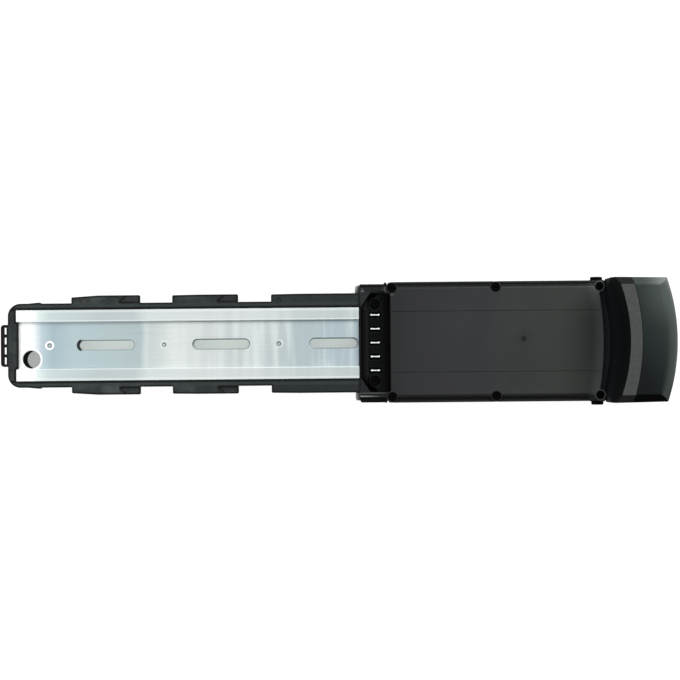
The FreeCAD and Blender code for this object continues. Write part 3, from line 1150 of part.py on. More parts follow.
def hood_form(name, inset, start, bottom):
    """The hood's form before the bay is cut from it, drawn in by an inset."""
    half = f"({HOOD_WIDTH} / 2 - ({inset}))"
    top = f"(hood_top - ({inset}))"
    bevel_top = f"({top} - ({HOOD_WIDTH} / 2 - hood_bevel_width) ^ 2 / (2 * hood_crown_radius))"
    section = padded(f"{name}_section", "YZ_Plane", [
        (f"-{half}", bottom), (half, bottom), (half, f"{bevel_top} - hood_bevel_drop"),
        (f"{half} - hood_bevel_width", bevel_top), (f"{half} - hood_bevel_width", f"{top} + {PAST}"),
        (f"-{half} + hood_bevel_width", f"{top} + {PAST}"), (f"-{half} + hood_bevel_width", bevel_top),
        (f"-{half}", f"{bevel_top} - hood_bevel_drop"),
    ], f"{RIGHT} - ({start}) + {PAST}")
    place(section, start, 0, 0)

    def under_bevel(edge, box):
        on_side = near(abs(edge.BoundBox.YMin), box.YMax)
        return lengthwise(edge) and on_side and edge.BoundBox.ZMin > box.Center.z
    section = eased(f"{name}_beveled", section, "Fillet", under_bevel, "hood_bevel_round")
    crown = rod(f"{name}_crown", f"{start} - {PAST}", 0, f"{top} - hood_crown_radius", "hood_crown_radius",
                f"{RIGHT} - ({start}) + {3 * PAST}", "X")
    drum = rod(f"{name}_drum", f"{RIGHT} - end_radius", 0, bottom, f"end_radius - ({inset})",
               f"{top} - ({bottom})")
    rounded = eased(f"{name}_rounded", drum, "Fillet", lambda edge, box: level_at(edge, box.ZMax),
                    f"hood_round - ({inset})")
    far_half = f"({half} - hood_taper)"
    tapered = padded(f"{name}_plan", "XY_Plane", [
        (f"{start} - {PAST}", f"-{half}"), (f"{RIGHT} + {PAST}", f"-{far_half}"),
        (f"{RIGHT} + {PAST}", far_half), (f"{start} - {PAST}", half),
    ], f"{top} + {2 * PAST} - ({bottom})")
    place(tapered, 0, 0, f"{bottom} - {PAST}")
    return overlap(f"{name}_body", [section, crown, rounded, tapered])


def hood_solid(name, inset, start, bottom):
    """The hollow inside the hood, or a skin within its wall, drawn in by an inset."""
    return carve(name, hood_form(name, inset, start, bottom), [hood_bay(f"{name}_bay", inset)])


def hood_outside(name, bottom):
    """The hood's outer form, with its bevels' upper edges softened."""
    bevel = sheet.get("hood_bevel_width")

    def over_bevel(edge, box):
        off_side = box.YMax - abs(edge.CenterOfMass.y)
        along = edge.BoundBox.XLength > bevel
        return along and abs(off_side - bevel) < bevel / 4 and edge.BoundBox.ZMin > box.Center.z
    form = eased(f"{name}_softened", hood_form(name, 0, HOOD, bottom), "Fillet", over_bevel,
                 "hood_edge_round")
    return carve(name, form, [hood_bay(f"{name}_bay", 0)])


def hood_bay(name, outset):
    """The leaning round bay that the pack's end sits in, grown by an outset."""
    below = 100
    radius = f"(hood_bay_radius + ({outset}))"
    bay = document.addObject("Part::Cylinder", name)
    bind(bay, Radius=radius, Height=f"hood_top + {2 * below}")
    lean = FreeCAD.Rotation(FreeCAD.Vector(0, 1, 0), sheet.get("hood_lean"))
    bay.Placement = FreeCAD.Placement(FreeCAD.Vector(), lean)
    bay.setExpression("Placement.Rotation.Angle", formula("hood_lean"))
    foot = f"({HOOD_FOOT} - hood_bay_radius * cos(hood_lean) - {below} * sin(hood_lean))"
    level = f"(shell_height + hood_bay_radius * sin(hood_lean) - {below} * cos(hood_lean))"
    bay.setExpression("Placement.Base.x", formula(foot))
    bay.setExpression("Placement.Base.z", formula(level))
    return bay


def seam_drum(name, shift, bottom):
    """Everything on the pack's side of the seam, moved along by a shift."""
    return rod(name, f"{SEAM} - seam_radius", 0, bottom, f"seam_radius + ({shift})", f"hood_top + {PAST}")


def make_hood():
    base = "shell_height"
    outer = hood_outside("hood_outer", base)
    inner = hood_solid("hood_inner", "hood_wall", f"({HOOD} + hood_wall)", f"{base} - {PAST}")
    shell = carve("hood_shell", outer, [inner])

    reach = "hood_wall + fit_gap / 2 + tongue_thickness"
    inside = hood_solid("tongue_inside", reach, HOOD, f"{base} - {PAST}")
    tongue_skin = hood_solid("tongue_skin", "hood_wall + fit_gap / 2", f"({HOOD} + hood_wall)", base)
    root_skin = hood_solid("root_skin", "hood_wall / 2", f"({HOOD} + hood_wall / 2)", base)
    tongue_band = carve("tongue_band", seam_drum("tongue_far", "tongue_length", base),
                        [seam_drum("tongue_near", "-tongue_length", f"{base} - {PAST}")])
    root_band = carve("root_band", seam_drum("root_far", "-seam_gap", base),
                      [seam_drum("root_near", "-tongue_length", f"{base} - {PAST}")])
    tongue = overlap("hood_tongue", [carve("tongue_ring", tongue_skin, [inside]), tongue_band])
    root = overlap("tongue_root", [carve("root_ring", root_skin, [inside]), root_band])
    front = overlap("hood_front", [shell, seam_drum("frame_side", "-seam_gap / 2", base)])
    frame_pieces = [front, tongue, root]
    frame_pilots = []
    for i, (x, y) in enumerate(HOOD_SCREWS[:2], start=1):
        frame_pieces.append(hood_post(f"frame_post_{i}", x, y))
        frame_pilots.append(hood_pilot(f"frame_pilot_{i}", x, y))
    keep(carve("frame_finished", join("frame_plastic", frame_pieces), frame_pilots), "hood_frame")

    dome_pieces = [carve("hood_rear", shell, [seam_drum("dome_side", "seam_gap / 2", f"{base} - {PAST}")])]
    dome_pilots = []
    for i, (x, y) in enumerate(HOOD_SCREWS[2:], start=1):
        dome_pieces.append(hood_post(f"dome_post_{i}", x, y))
        dome_pilots.append(hood_pilot(f"dome_pilot_{i}", x, y))
    keep(carve("dome_finished", join("dome_plastic", dome_pieces), dome_pilots), "hood_dome")

    screws = screw_set("hood_screw_set", pan_screw, small_screw("hood_screw_length"),
                       [(x, y, "2 * small_head_height") for x, y in HOOD_SCREWS], "-Z")
    keep(screws, "hood_screws")


def hood_post(name, x, y):
    """A post inside the hood, from the shell's rim up into the roof."""
    column = rod(f"{name}_column", x, y, "shell_height", "hood_post_radius", "hood_top - shell_height")
    room = hood_solid(f"{name}_room", "hood_wall / 2", HOOD, "shell_height")
    return overlap(name, [column, room])


def hood_pilot(name, x, y):
    return rod(name, x, y, f"shell_height - {PAST}", "small_screw_radius",
               f"hood_screw_length + 2 * small_head_height - shell_height + {2 * PAST}")


def make_grommet():
    """The rubber grommet of the cable outlet in the floor, under the hood."""
    lip = "outlet_radius + outlet_lip"
    neck = "outlet_radius"
    seat = "shell_floor"
    grommet = turned("grommet_rubber", [
        ("outlet_bore", "fit_gap"), (lip, "fit_gap"), (lip, "outlet_recess"), (neck, "outlet_recess"),
        (neck, seat), (lip, seat), (f"{lip} - outlet_recess", f"{seat} + 2 * outlet_recess"),
        ("outlet_bore", f"{seat} + 2 * outlet_recess")])
    keep(place(grommet, OUTLET_X, 0, 0), "cable_grommet")


def write_nodes():
    document.recompute()
    failed = [item.Name for item in document.Objects if {"Invalid", "Error"} & set(item.State)]
    if failed:
        raise RuntimeError(f"objects that failed: {failed}")
    for item in nodes:
        if item.Shape.isNull() or not item.Shape.isValid() or not item.Shape.Solids:
            raise RuntimeError(f"{item.Label}: the shape is empty or not valid")
    os.makedirs("parts", exist_ok=True)
    for item in nodes:
        item.Shape.exportStep(f"parts/{item.Label}.step")
        print(f"{item.Label:22} solids {len(item.Shape.Solids):2} volume {item.Shape.Volume:10.1f}")


make_rail_tray()
make_rail_plate()
make_tray_fasteners()
make_lower_shell()
make_top_cover()
make_connector()
make_side_fasteners()
make_front_buffers()
make_controller()
make_leads()
make_hood()
make_grommet()
write_nodes()
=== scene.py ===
import math

import bpy
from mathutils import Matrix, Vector

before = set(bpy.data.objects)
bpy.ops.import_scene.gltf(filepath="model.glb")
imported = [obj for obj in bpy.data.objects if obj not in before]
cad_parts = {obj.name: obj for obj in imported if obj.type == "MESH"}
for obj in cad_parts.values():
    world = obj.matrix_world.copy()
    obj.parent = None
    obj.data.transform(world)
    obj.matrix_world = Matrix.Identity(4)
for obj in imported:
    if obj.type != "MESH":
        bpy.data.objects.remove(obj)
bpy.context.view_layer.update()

# The scene gives the CAD solids their materials and adds a floor, light and a camera, but no shapes.
# Lengths are in metres: X runs along the dock from the lift loop to the hood, Y across it, and Z up.
# Colours are display values in hex, such as 3a3b3c.

LOCK_HOLE = (-0.2279, -0.0104)
RAIL_START, RAIL_LENGTH = -0.24, 0.26
RAIL_SCREW_XS = (-0.214, -0.128, -0.042)
SLOTS = ((-0.189, -0.1538), (-0.103, -0.0678), (-0.015, 0.0137))  # X of the centres of each slot's ends
WING_RAMPS = ((-0.1613, -0.1458), (-0.0878, -0.0723))  # X of the ramps in the first two pairs of wings
COVER_FRONT = (0.0385, 0.039)  # X where the cover begins
COVER_SCREW_XS = (0.0426, 0.1201, 0.1976)
COVER_SCREW_Y = 0.0405
FRONT_LOBE = (COVER_SCREW_XS[0], COVER_SCREW_Y)
LOBE_RADIUS = 0.005
COVER_DIMPLE = (0.1407, 0.0018)
HOOD_AXIS = (-0.0237, 0.0)  # of the hood's round inner wall

# Half the width of a painted line, or how far a mark takes to fade out at its edge.
LINE, HAIR, CRISP, SOFT, DULL, BLURRED = 0.0001, 0.0002, 0.0003, 0.0004, 0.0005, 0.0006

BLACK, NEAR_BLACK, WHITE = "000000", "070808", "ffffff"

# Sockets of a Mix node that is set to colours.
MIX_SHARE, MIX_A, MIX_B, MIX_RESULT = 0, 6, 7, 2


def linear(hex_colour):
    """A display colour as the linear colour that renders like it."""
    parts = [int(hex_colour[i:i + 2], 16) / 255 for i in (0, 2, 4)]
    return [c / 12.92 if c <= 0.04045 else ((c + 0.055) / 1.055) ** 2.4 for c in parts] + [1]


class Tree:
    """A node tree, with short calls for the nodes it uses."""

    def __init__(self, tree):
        self.tree = tree

    def add(self, kind, inputs=(), **settings):
        node = self.tree.nodes.new(kind)
        for key, value in settings.items():
            setattr(node, key, value)
        for key, value in dict(inputs).items():
            self.put(node.inputs[key], value)
        return node

    def put(self, socket, value):
        """Links an output to the socket, or sets the socket to a value or a hex colour."""
        if isinstance(value, bpy.types.NodeSocket):
            self.tree.links.new(value, socket)
        else:
            socket.default_value = linear(value) if isinstance(value, str) else value

    def split(self, vector):
        """The outputs X, Y and Z of a vector."""
        return self.add("ShaderNodeSeparateXYZ", {0: vector}).outputs

    def blend(self, share, first, second):
        """The second shader over the first, by a share."""
        return self.add("ShaderNodeMixShader", {0: share, 1: first, 2: second}).outputs[0]


class Graph(Tree):
    """A material's node tree. A mask is a value that is 1 on its mark, 0 off it and smooth between."""

    def __init__(self, name):
        self.material = bpy.data.materials.new(name)
        self.material.use_nodes = True
        super().__init__(self.material.node_tree)
        self.tree.nodes.clear()
        self.surface = self.add("ShaderNodeOutputMaterial").inputs["Surface"]
        self.shader = self.add("ShaderNodeBsdfPrincipled")
        self.put(self.surface, self.shader.outputs[0])
        self.geometry = self.add("ShaderNodeNewGeometry").outputs
        self.x, self.y, self.z = self.split(self.geometry["Position"])

    def set(self, **values):
        """Sets sockets of the shader, with _ for each space in their names."""
        for key, value in values.items():
            self.put(self.shader.inputs[key.replace("_", " ")], value)

    # Sums.

    def math(self, operation, a, b=0.0, clamp=False):
        return self.add("ShaderNodeMath", {0: a, 1: b}, operation=operation, use_clamp=clamp).outputs[0]

    def fold(self, operation, values):
        result = values[0]
        for value in values[1:]:
            result = self.math(operation, result, value)
        return result

    def plus(self, *values):
        return self.fold("ADD", values)

    def minus(self, a, b):
        return self.math("SUBTRACT", a, b)

    def times(self, *values):
        return self.fold("MULTIPLY", values)

    def most(self, *values):
        return self.fold("MAXIMUM", values)

    def away(self, value, middle=0.0):
        return self.math("ABSOLUTE", self.minus(value, middle))

    def hypotenuse(self, a, b):
        return self.math("SQRT", self.plus(self.times(a, a), self.times(b, b)))

    def reach(self, axis):
        """Distance from an upright axis at (x, y)."""
        return self.hypotenuse(self.minus(self.x, axis[0]), self.minus(self.y, axis[1]))

    def facing(self, axis="Z"):
        """How far the surface faces along an axis, from -1 to 1."""
        return self.split(self.geometry["Normal"])[axis]

    # Masks.

    def ramp(self, value, low, high, start, end):
        """start below low, end above high, and smooth between."""
        return self.add("ShaderNodeMapRange", {0: value, 1: low, 2: high, 3: start, 4: end},
                        interpolation_type="SMOOTHSTEP").outputs[0]

    def rise(self, value, low, high):
        return self.ramp(value, low, high, 0.0, 1.0)

    def fall(self, value, low, high):
        return self.ramp(value, low, high, 1.0, 0.0)

    def near(self, value, middle, half, soft):
        """1 within half of the middle, 0 from soft further out."""
        return self.fall(self.away(value, middle), half, half + soft)

    def between(self, value, low, high, soft):
        """1 from low to high, 0 from soft outside them."""
        return self.near(value, (low + high) / 2, (high - low) / 2, soft)

    def spot(self, axis, radius, soft):
        """The inside of a circle about an upright axis."""
        return self.fall(self.reach(axis), radius, radius + soft)

    def ring(self, axis, radius, half, soft):
        """The line of a circle about an upright axis."""
        return self.near(self.reach(axis), radius, half, soft)

    def capsule(self, ends, radius, soft):
        """The outline of a round-ended slot on the centre line, between the centres of its ends."""
        middle, half = (ends[0] + ends[1]) / 2, (ends[1] - ends[0]) / 2
        beyond = self.most(self.minus(self.away(self.x, middle), half), 0.0)
        return self.near(self.hypotenuse(beyond, self.y), radius, LINE, soft)

    def edge(self, radius, gain):
        """An outer edge of the mesh."""
        turn = self.add("ShaderNodeVectorMath", {0: self.soft_edge(radius), 1: self.geometry["Normal"]},
                        operation="DOT_PRODUCT").outputs["Value"]
        return self.math("MULTIPLY", self.minus(1.0, turn), gain, clamp=True)

    def rim(self, distance, gain):
        """A flat face beside its outer edges, as far in as the distance."""
        depth = self.add("ShaderNodeAmbientOcclusion", {"Distance": distance}, samples=12, inside=True,
                         only_local=True).outputs["AO"]
        return self.math("MULTIPLY", self.minus(1.0, depth), gain, clamp=True)

    # Texture and colour.

    def noise(self, scale, detail=3.0, rough=0.5, stretch=(1, 1, 1), shift=(0, 0, 0)):
        """Noise from 0 to 1 with a size of about 1 / scale; stretch lengthens it along an axis."""
        place = self.add("ShaderNodeMapping", {"Vector": self.geometry["Position"], "Location": shift,
                                               "Scale": [1 / length for length in stretch]}).outputs[0]
        return self.add("ShaderNodeTexNoise", {"Vector": place, "Scale": scale, "Detail": detail,
                                               "Roughness": rough}).outputs["Fac"]

    def uneven(self, rough, spread=0.12, scale=500):
        """A roughness that varies about a middle value."""
        return self.plus(rough - spread / 2, self.times(self.noise(scale, detail=2), spread))

    def soft_edge(self, radius):
        """The surface's normal, rounded over the mesh's edges."""
        return self.add("ShaderNodeBevel", {"Radius": radius}, samples=6).outputs[0]

    def relief(self, height, depth, rounding=0.0):
        """Bumps the surface by the height, 0 to 1, times the depth, and makes its edges look rounded."""
        inputs = {"Height": height, "Distance": depth}
        if rounding:
            inputs["Normal"] = self.soft_edge(rounding)
        self.set(Normal=self.add("ShaderNodeBump", inputs).outputs[0])

    def mix(self, share, a, b):
        return self.add("ShaderNodeMix", {MIX_SHARE: share, MIX_A: a, MIX_B: b},
                        data_type="RGBA").outputs[MIX_RESULT]

    def stops(self, value, *stops):
        """A colour ramp of (place, colour) pairs."""
        node = self.add("ShaderNodeValToRGB", {0: value})
        elements = node.color_ramp.elements
        while len(elements) < len(stops):
            elements.new(1.0)
        for element, (place, colour) in zip(elements, stops):
            element.position = place
            element.color = linear(colour)
        return node.outputs[0]

    def coat(self, colour):
        """Makes a colour the base colour."""
        self.colour = colour
        self.set(Base_Color=colour)

    def tint(self, mask, colour, share=1.0):
        """Lays a colour over the base colour on a mask, as strongly as the share says."""
        self.coat(self.mix(self.times(mask, share), self.colour, colour))

    def outline(self, colour, share):
        """Paints shade on the rounded edges between a face that looks up and a wall: faces darken as they
        slope.
        """
        up = self.facing()
        self.tint(self.times(self.rise(up, 0.05, 0.25), self.fall(up, 0.84, 0.96)), colour, share)


def moulded(name, dark, light, rough, grain=1500, depth=0.00002, cloud=38, gloss=0.15):
    """Moulded plastic: soft clouds and fine flecks of its shade, with spark-eroded grain."""
    g = Graph(name)
    clouds = g.rise(g.noise(cloud, detail=4, rough=0.6), 0.35, 0.65)
    flecks = g.rise(g.noise(900, detail=2, rough=0.6, shift=(0.3, 0.1, 0)), 0.35, 0.7)
    g.coat(g.mix(g.plus(g.times(clouds, 0.7), g.times(flecks, 0.3)), dark, light))
    g.set(Roughness=g.uneven(rough), Specular_IOR_Level=gloss)
    g.relief(g.noise(grain, detail=2), depth, rounding=CRISP)
    return g


def tray():
    """The tray: darker towards the box, with painted shade: more of it near the box on the -Y side, dark
    outlines along its outer edges, a dark line in the gap to the rail, dark wing ramps and a black lock
    socket.
    """
    rough = 0.55
    g = moulded("tray_texture", "222626", "404544", rough, grain=1100, depth=0.00003, cloud=90)
    off = g.away(g.y)
    g.tint(g.rise(g.x, -0.17, -0.09), "1e2323", 0.5)
    # Painted shade near the box, a little deeper on the -Y side.
    g.tint(g.times(g.rise(g.x, -0.09, -0.02), g.ramp(g.y, -0.03, 0.03, 0.75, 0.65)), "1a1f1f")
    side_rims = g.between(off, 0.0275, 0.0308, SOFT)
    g.tint(side_rims, "2d3334", 0.6)
    # Painted shade on the wing ramps, with a near-black line of painted shade at their inner feet.
    ramps = g.most(*[g.between(g.x, low, high, BLURRED) for low, high in WING_RAMPS])
    g.tint(g.times(ramps, g.between(off, 0.0318, 0.0345, 0.0012)), "101314", 0.45)
    ramp_foot_shade = g.near(off, 0.0319, CRISP, HAIR)
    g.tint(g.times(ramps, ramp_foot_shade), NEAR_BLACK)
    end_rim = g.fall(g.x, -0.2385, -0.238)
    g.tint(end_rim, "1c2020", 0.35)
    lift_loop = g.fall(g.x, -0.2446, -0.244)
    g.tint(lift_loop, "131516", 0.7)
    # Painted shade: a near-black line in the gap between the tray and the rail.
    rail_gap_shade = g.between(off, 0.0262, 0.0276, CRISP)
    g.tint(rail_gap_shade, NEAR_BLACK)
    # Painted shade: flat faces darken towards their outer edges.
    g.tint(g.rim(0.002, gain=4.0), NEAR_BLACK)
    # Painted shade: the lock socket's walls are black.
    lock_socket_shade = g.spot(LOCK_HOLE, 0.0076, SOFT)
    g.tint(lock_socket_shade, BLACK)
    g.set(Roughness=g.plus(g.uneven(rough), g.times(lock_socket_shade, 0.4)))
    return g


def shell():
    """The box's tub: two bars beside the connector, a duct on the -Y side and a lip round the cover, with
    painted highlights and shade on them, painted light in the gutter under the hood and painted shade on its
    rounded edges.
    """
    g = moulded("shell_texture", "121415", "1b1e1f", rough=0.45)
    off = g.away(g.y)
    level = g.rise(g.facing(), 0.8, 0.97)
    ahead = g.fall(g.x, *COVER_FRONT)

    bars = g.times(g.fall(g.x, 0.0405, 0.0412), g.rise(off, 0.036, 0.0366))
    g.tint(bars, "151717", 0.8)
    front_corner = g.times(g.fall(g.x, 0.027, 0.03), g.between(g.y, 0.0285, 0.0375, 0.0008))
    g.tint(front_corner, "222424", 0.8)
    # Painted shade along the +Y bar's inner band, beside the connector's recess.
    inner_band = g.times(bars, g.between(g.y, 0.036, 0.0384, CRISP))
    g.tint(inner_band, g.mix(g.rise(g.x, 0.025, 0.028), "1e2022", NEAR_BLACK))
    # Painted highlights along the bars' edges, and a thin dark line of painted shade between the +Y
    # highlight and the recess.
    for y, half, soft, shade in ((0.0396, SOFT, CRISP, "3f4242"), (0.0388, LINE, HAIR, "0b0c0c"),
                                 (-0.0378, CRISP, CRISP, "3c4041")):
        g.tint(g.times(bars, g.near(g.y, y, half, soft)), shade)
    # Painted glint at the front end of the +Y bar.
    glint = g.spot((0.0209, 0.0392), CRISP, 0.0016)
    g.tint(glint, "6c6e6e", 0.8)

    # Painted highlight on an arc round the front screw lobe.
    lobe_arc_highlight = g.times(g.ring(FRONT_LOBE, LOBE_RADIUS, SOFT, CRISP), g.fall(g.y, 0.041, 0.042))
    g.tint(g.times(lobe_arc_highlight, level), "626463", 0.85)
    # Painted light: the lip's top is a little lighter, more so on the +Y side.
    lip = g.times(level, g.rise(off, 0.0434, 0.0436), g.rise(g.x, 0.041, 0.042))
    g.tint(lip, g.mix(g.rise(g.y, 0.0, 0.01), "1b1d1d", "1e2121"), 0.8)
    # Painted shade: the duct beside the -Y bar is near black.
    duct = g.times(ahead, g.fall(g.y, -0.0408, -0.0402))
    g.tint(duct, "050505")
    # Painted highlight along the duct's rim, brightest at the front.
    duct_rim_highlight = g.times(ahead, g.near(g.y, -0.0399, DULL, CRISP))
    g.tint(g.times(duct_rim_highlight, level), g.mix(g.rise(g.x, 0.019, 0.036), "8a8c8c", "2e3030"))
    # Painted light: lightens the shadowed floor of the gutter under the hood.
    under_hood_light = g.times(g.rise(g.x, 0.198, 0.2), g.rise(g.facing(), 0.7, 0.95))
    g.tint(under_hood_light, "202226")
    # Painted shade on the rounded edges.
    g.outline("0c0d0e", 0.8)
    return g


def cover():
    """The cover: lighter towards the hood and given painted light where the hood shades it, with painted
    shade on its sides and in the screw recesses, a painted highlight on an arc by the front lobe and a small
    dimple.
    """
    g = moulded("cover_texture", "262727", "2d2e2e", rough=0.5, cloud=26)
    for along, shade, share in ((g.fall(g.x, 0.05, 0.1), "1c1d1d", 0.6),
                                (g.between(g.x, 0.06, 0.11, 0.02), "29292d", 0.5),
                                (g.rise(g.x, 0.11, 0.17), "2f322e", 0.6)):
        g.tint(along, shade, share)
    # Painted shade on the sloping sides.
    side_slope_shade = g.rise(g.away(g.y), 0.0405, 0.0425)
    g.tint(side_slope_shade, "101111", 0.75)
    # Painted highlight on an arc round the front screw lobe.
    lobe_arc_highlight = g.times(g.ring(FRONT_LOBE, LOBE_RADIUS, CRISP, CRISP),
                       g.between(g.x, 0.04, 0.0438, BLURRED), g.fall(g.y, 0.0375, 0.0385))
    g.tint(lobe_arc_highlight, "505352", 0.7)
    # Painted shade in the screw recesses.
    for x in COVER_SCREW_XS:
        for y in (-COVER_SCREW_Y, COVER_SCREW_Y):
            recess = g.spot((x, y), 0.0036, DULL)
            g.tint(recess, "070707", 0.85)
    # Painted shade: a dark band along the -Y side.
    minus_side_shade = g.times(g.fall(g.y, -0.0395, -0.0385), g.between(g.y, -0.0435, -0.039, 0.0008))
    g.tint(minus_side_shade, "0d0e0e", 0.8)
    g.tint(g.spot(COVER_DIMPLE, 0.001, 0.009), "1a1c1a", 0.25)
    g.tint(g.spot(COVER_DIMPLE, 0.0008, 0.0024), "0e0f0e", 0.85)
    # Painted light: lightens the cover where the hood shades it.
    light_beside_hood = g.rise(g.reach(HOOD_AXIS), 0.2145, 0.2235)
    g.tint(light_beside_hood, "5a5d5e", 0.45)
    # Painted shade on the rounded edges.
    g.outline("0f1010", 0.7)
    return g


def connector():
    """The contact block: near black, with painted light on its front, painted shade at its back and a
    painted highlight along its edges.
    """
    g = moulded("connector_texture", "050606", "090a09", rough=0.4, gloss=0.06)
    # Painted light: the front face is made paler.
    front = g.fall(g.x, 0.0243, 0.0247)
    g.tint(front, "232321", 0.9)
    # Painted shade at the back, beside the cover's front wall.
    back = g.rise(g.x, 0.037, 0.0382)
    g.tint(back, "020202")
    # Painted highlight along the edges.
    g.tint(g.edge(DULL, gain=8.0), "303537", 0.7)
    return g


def strip():
    """The hood's matte front part, with the pale grained strip on its top, painted light on the foot of its
    inner wall, and painted light on its +Y shoulder with painted shade on its -Y shoulder.
    """
    g = moulded("strip_texture", "060708", "0a0b0d", rough=0.6, grain=1300, gloss=0.08)
    up = g.facing()
    # Painted light: the foot of the inner wall is lighter.
    inner_wall_foot_light = g.times(g.fall(g.z, 0.04, 0.058), g.fall(g.reach(HOOD_AXIS), 0.236, 0.246))
    g.tint(inner_wall_foot_light, "121417")
    high = g.rise(g.z, 0.062, 0.066)
    # Painted light on the +Y shoulder and painted shade on the -Y shoulder.
    shoulder_light_and_shade = g.times(high, g.rise(up, 0.5, 0.7))
    g.tint(shoulder_light_and_shade, g.mix(g.rise(g.y, -0.01, 0.01), "050606", "121516"))
    top = g.times(high, g.rise(up, 0.86, 0.93))
    grain = g.rise(g.noise(700, detail=4, rough=0.75), 0.3, 0.7)
    g.tint(top, g.mix(grain, "383a39", "444645"))
    return g


def dome():
    """The hood's satin rear part, with painted reflection lighter towards its +Y rear corner, painted light
    on that bevel and on the rear rounding, and painted shade that makes the -Y bevel black.
    """
    g = Graph("dome_gloss")
    # Painted reflection: the base colour lightens towards the +Y rear corner.
    swirl = g.times(g.minus(g.noise(14, rough=0.55, shift=(0.2, 0, 0.1)), 0.5), 0.3)
    corner = g.plus(g.times(g.minus(g.x, 0.225), 14), g.times(g.y, 11))
    g.coat(g.mix(g.rise(g.plus(corner, swirl), -0.5, 0.9), "141719", "323936"))
    side = g.split(g.soft_edge(0.0025))["Y"]  # tells the bevels apart: they face partly along Y
    # Painted light on the +Y bevel, brightest at the rear.
    plus_bevel_light = g.rise(side, 0.15, 0.3)
    g.tint(plus_bevel_light, g.mix(g.rise(g.x, 0.222, 0.25), "343938", "797d7b"))
    # Painted sheen towards the +Y rear corner.
    rear_corner_sheen = g.times(g.rise(g.y, 0.005, 0.035), g.rise(g.x, 0.218, 0.245))
    g.tint(g.times(rear_corner_sheen, g.minus(1.0, plus_bevel_light)), "4d5351", 0.6)
    # Painted shade: the -Y bevel is black.
    g.tint(g.fall(side, -0.3, -0.15), BLACK)
    # Painted light on the rear rounding; faces that look straight back are darkened again.
    rear = g.facing("X")
    g.tint(g.rise(rear, 0.25, 0.6), "424844", 0.5)
    g.tint(g.rise(rear, 0.8, 0.97), "1b1e1f", 0.8)
    minus_bevel = g.fall(side, -0.3, -0.1)
    g.set(Roughness=g.plus(g.uneven(0.33, spread=0.06, scale=420), g.times(minus_bevel, 0.55)),
          Specular_IOR_Level=0.035)
    g.relief(g.noise(700, detail=2), 0.000008, rounding=SOFT)
    return g


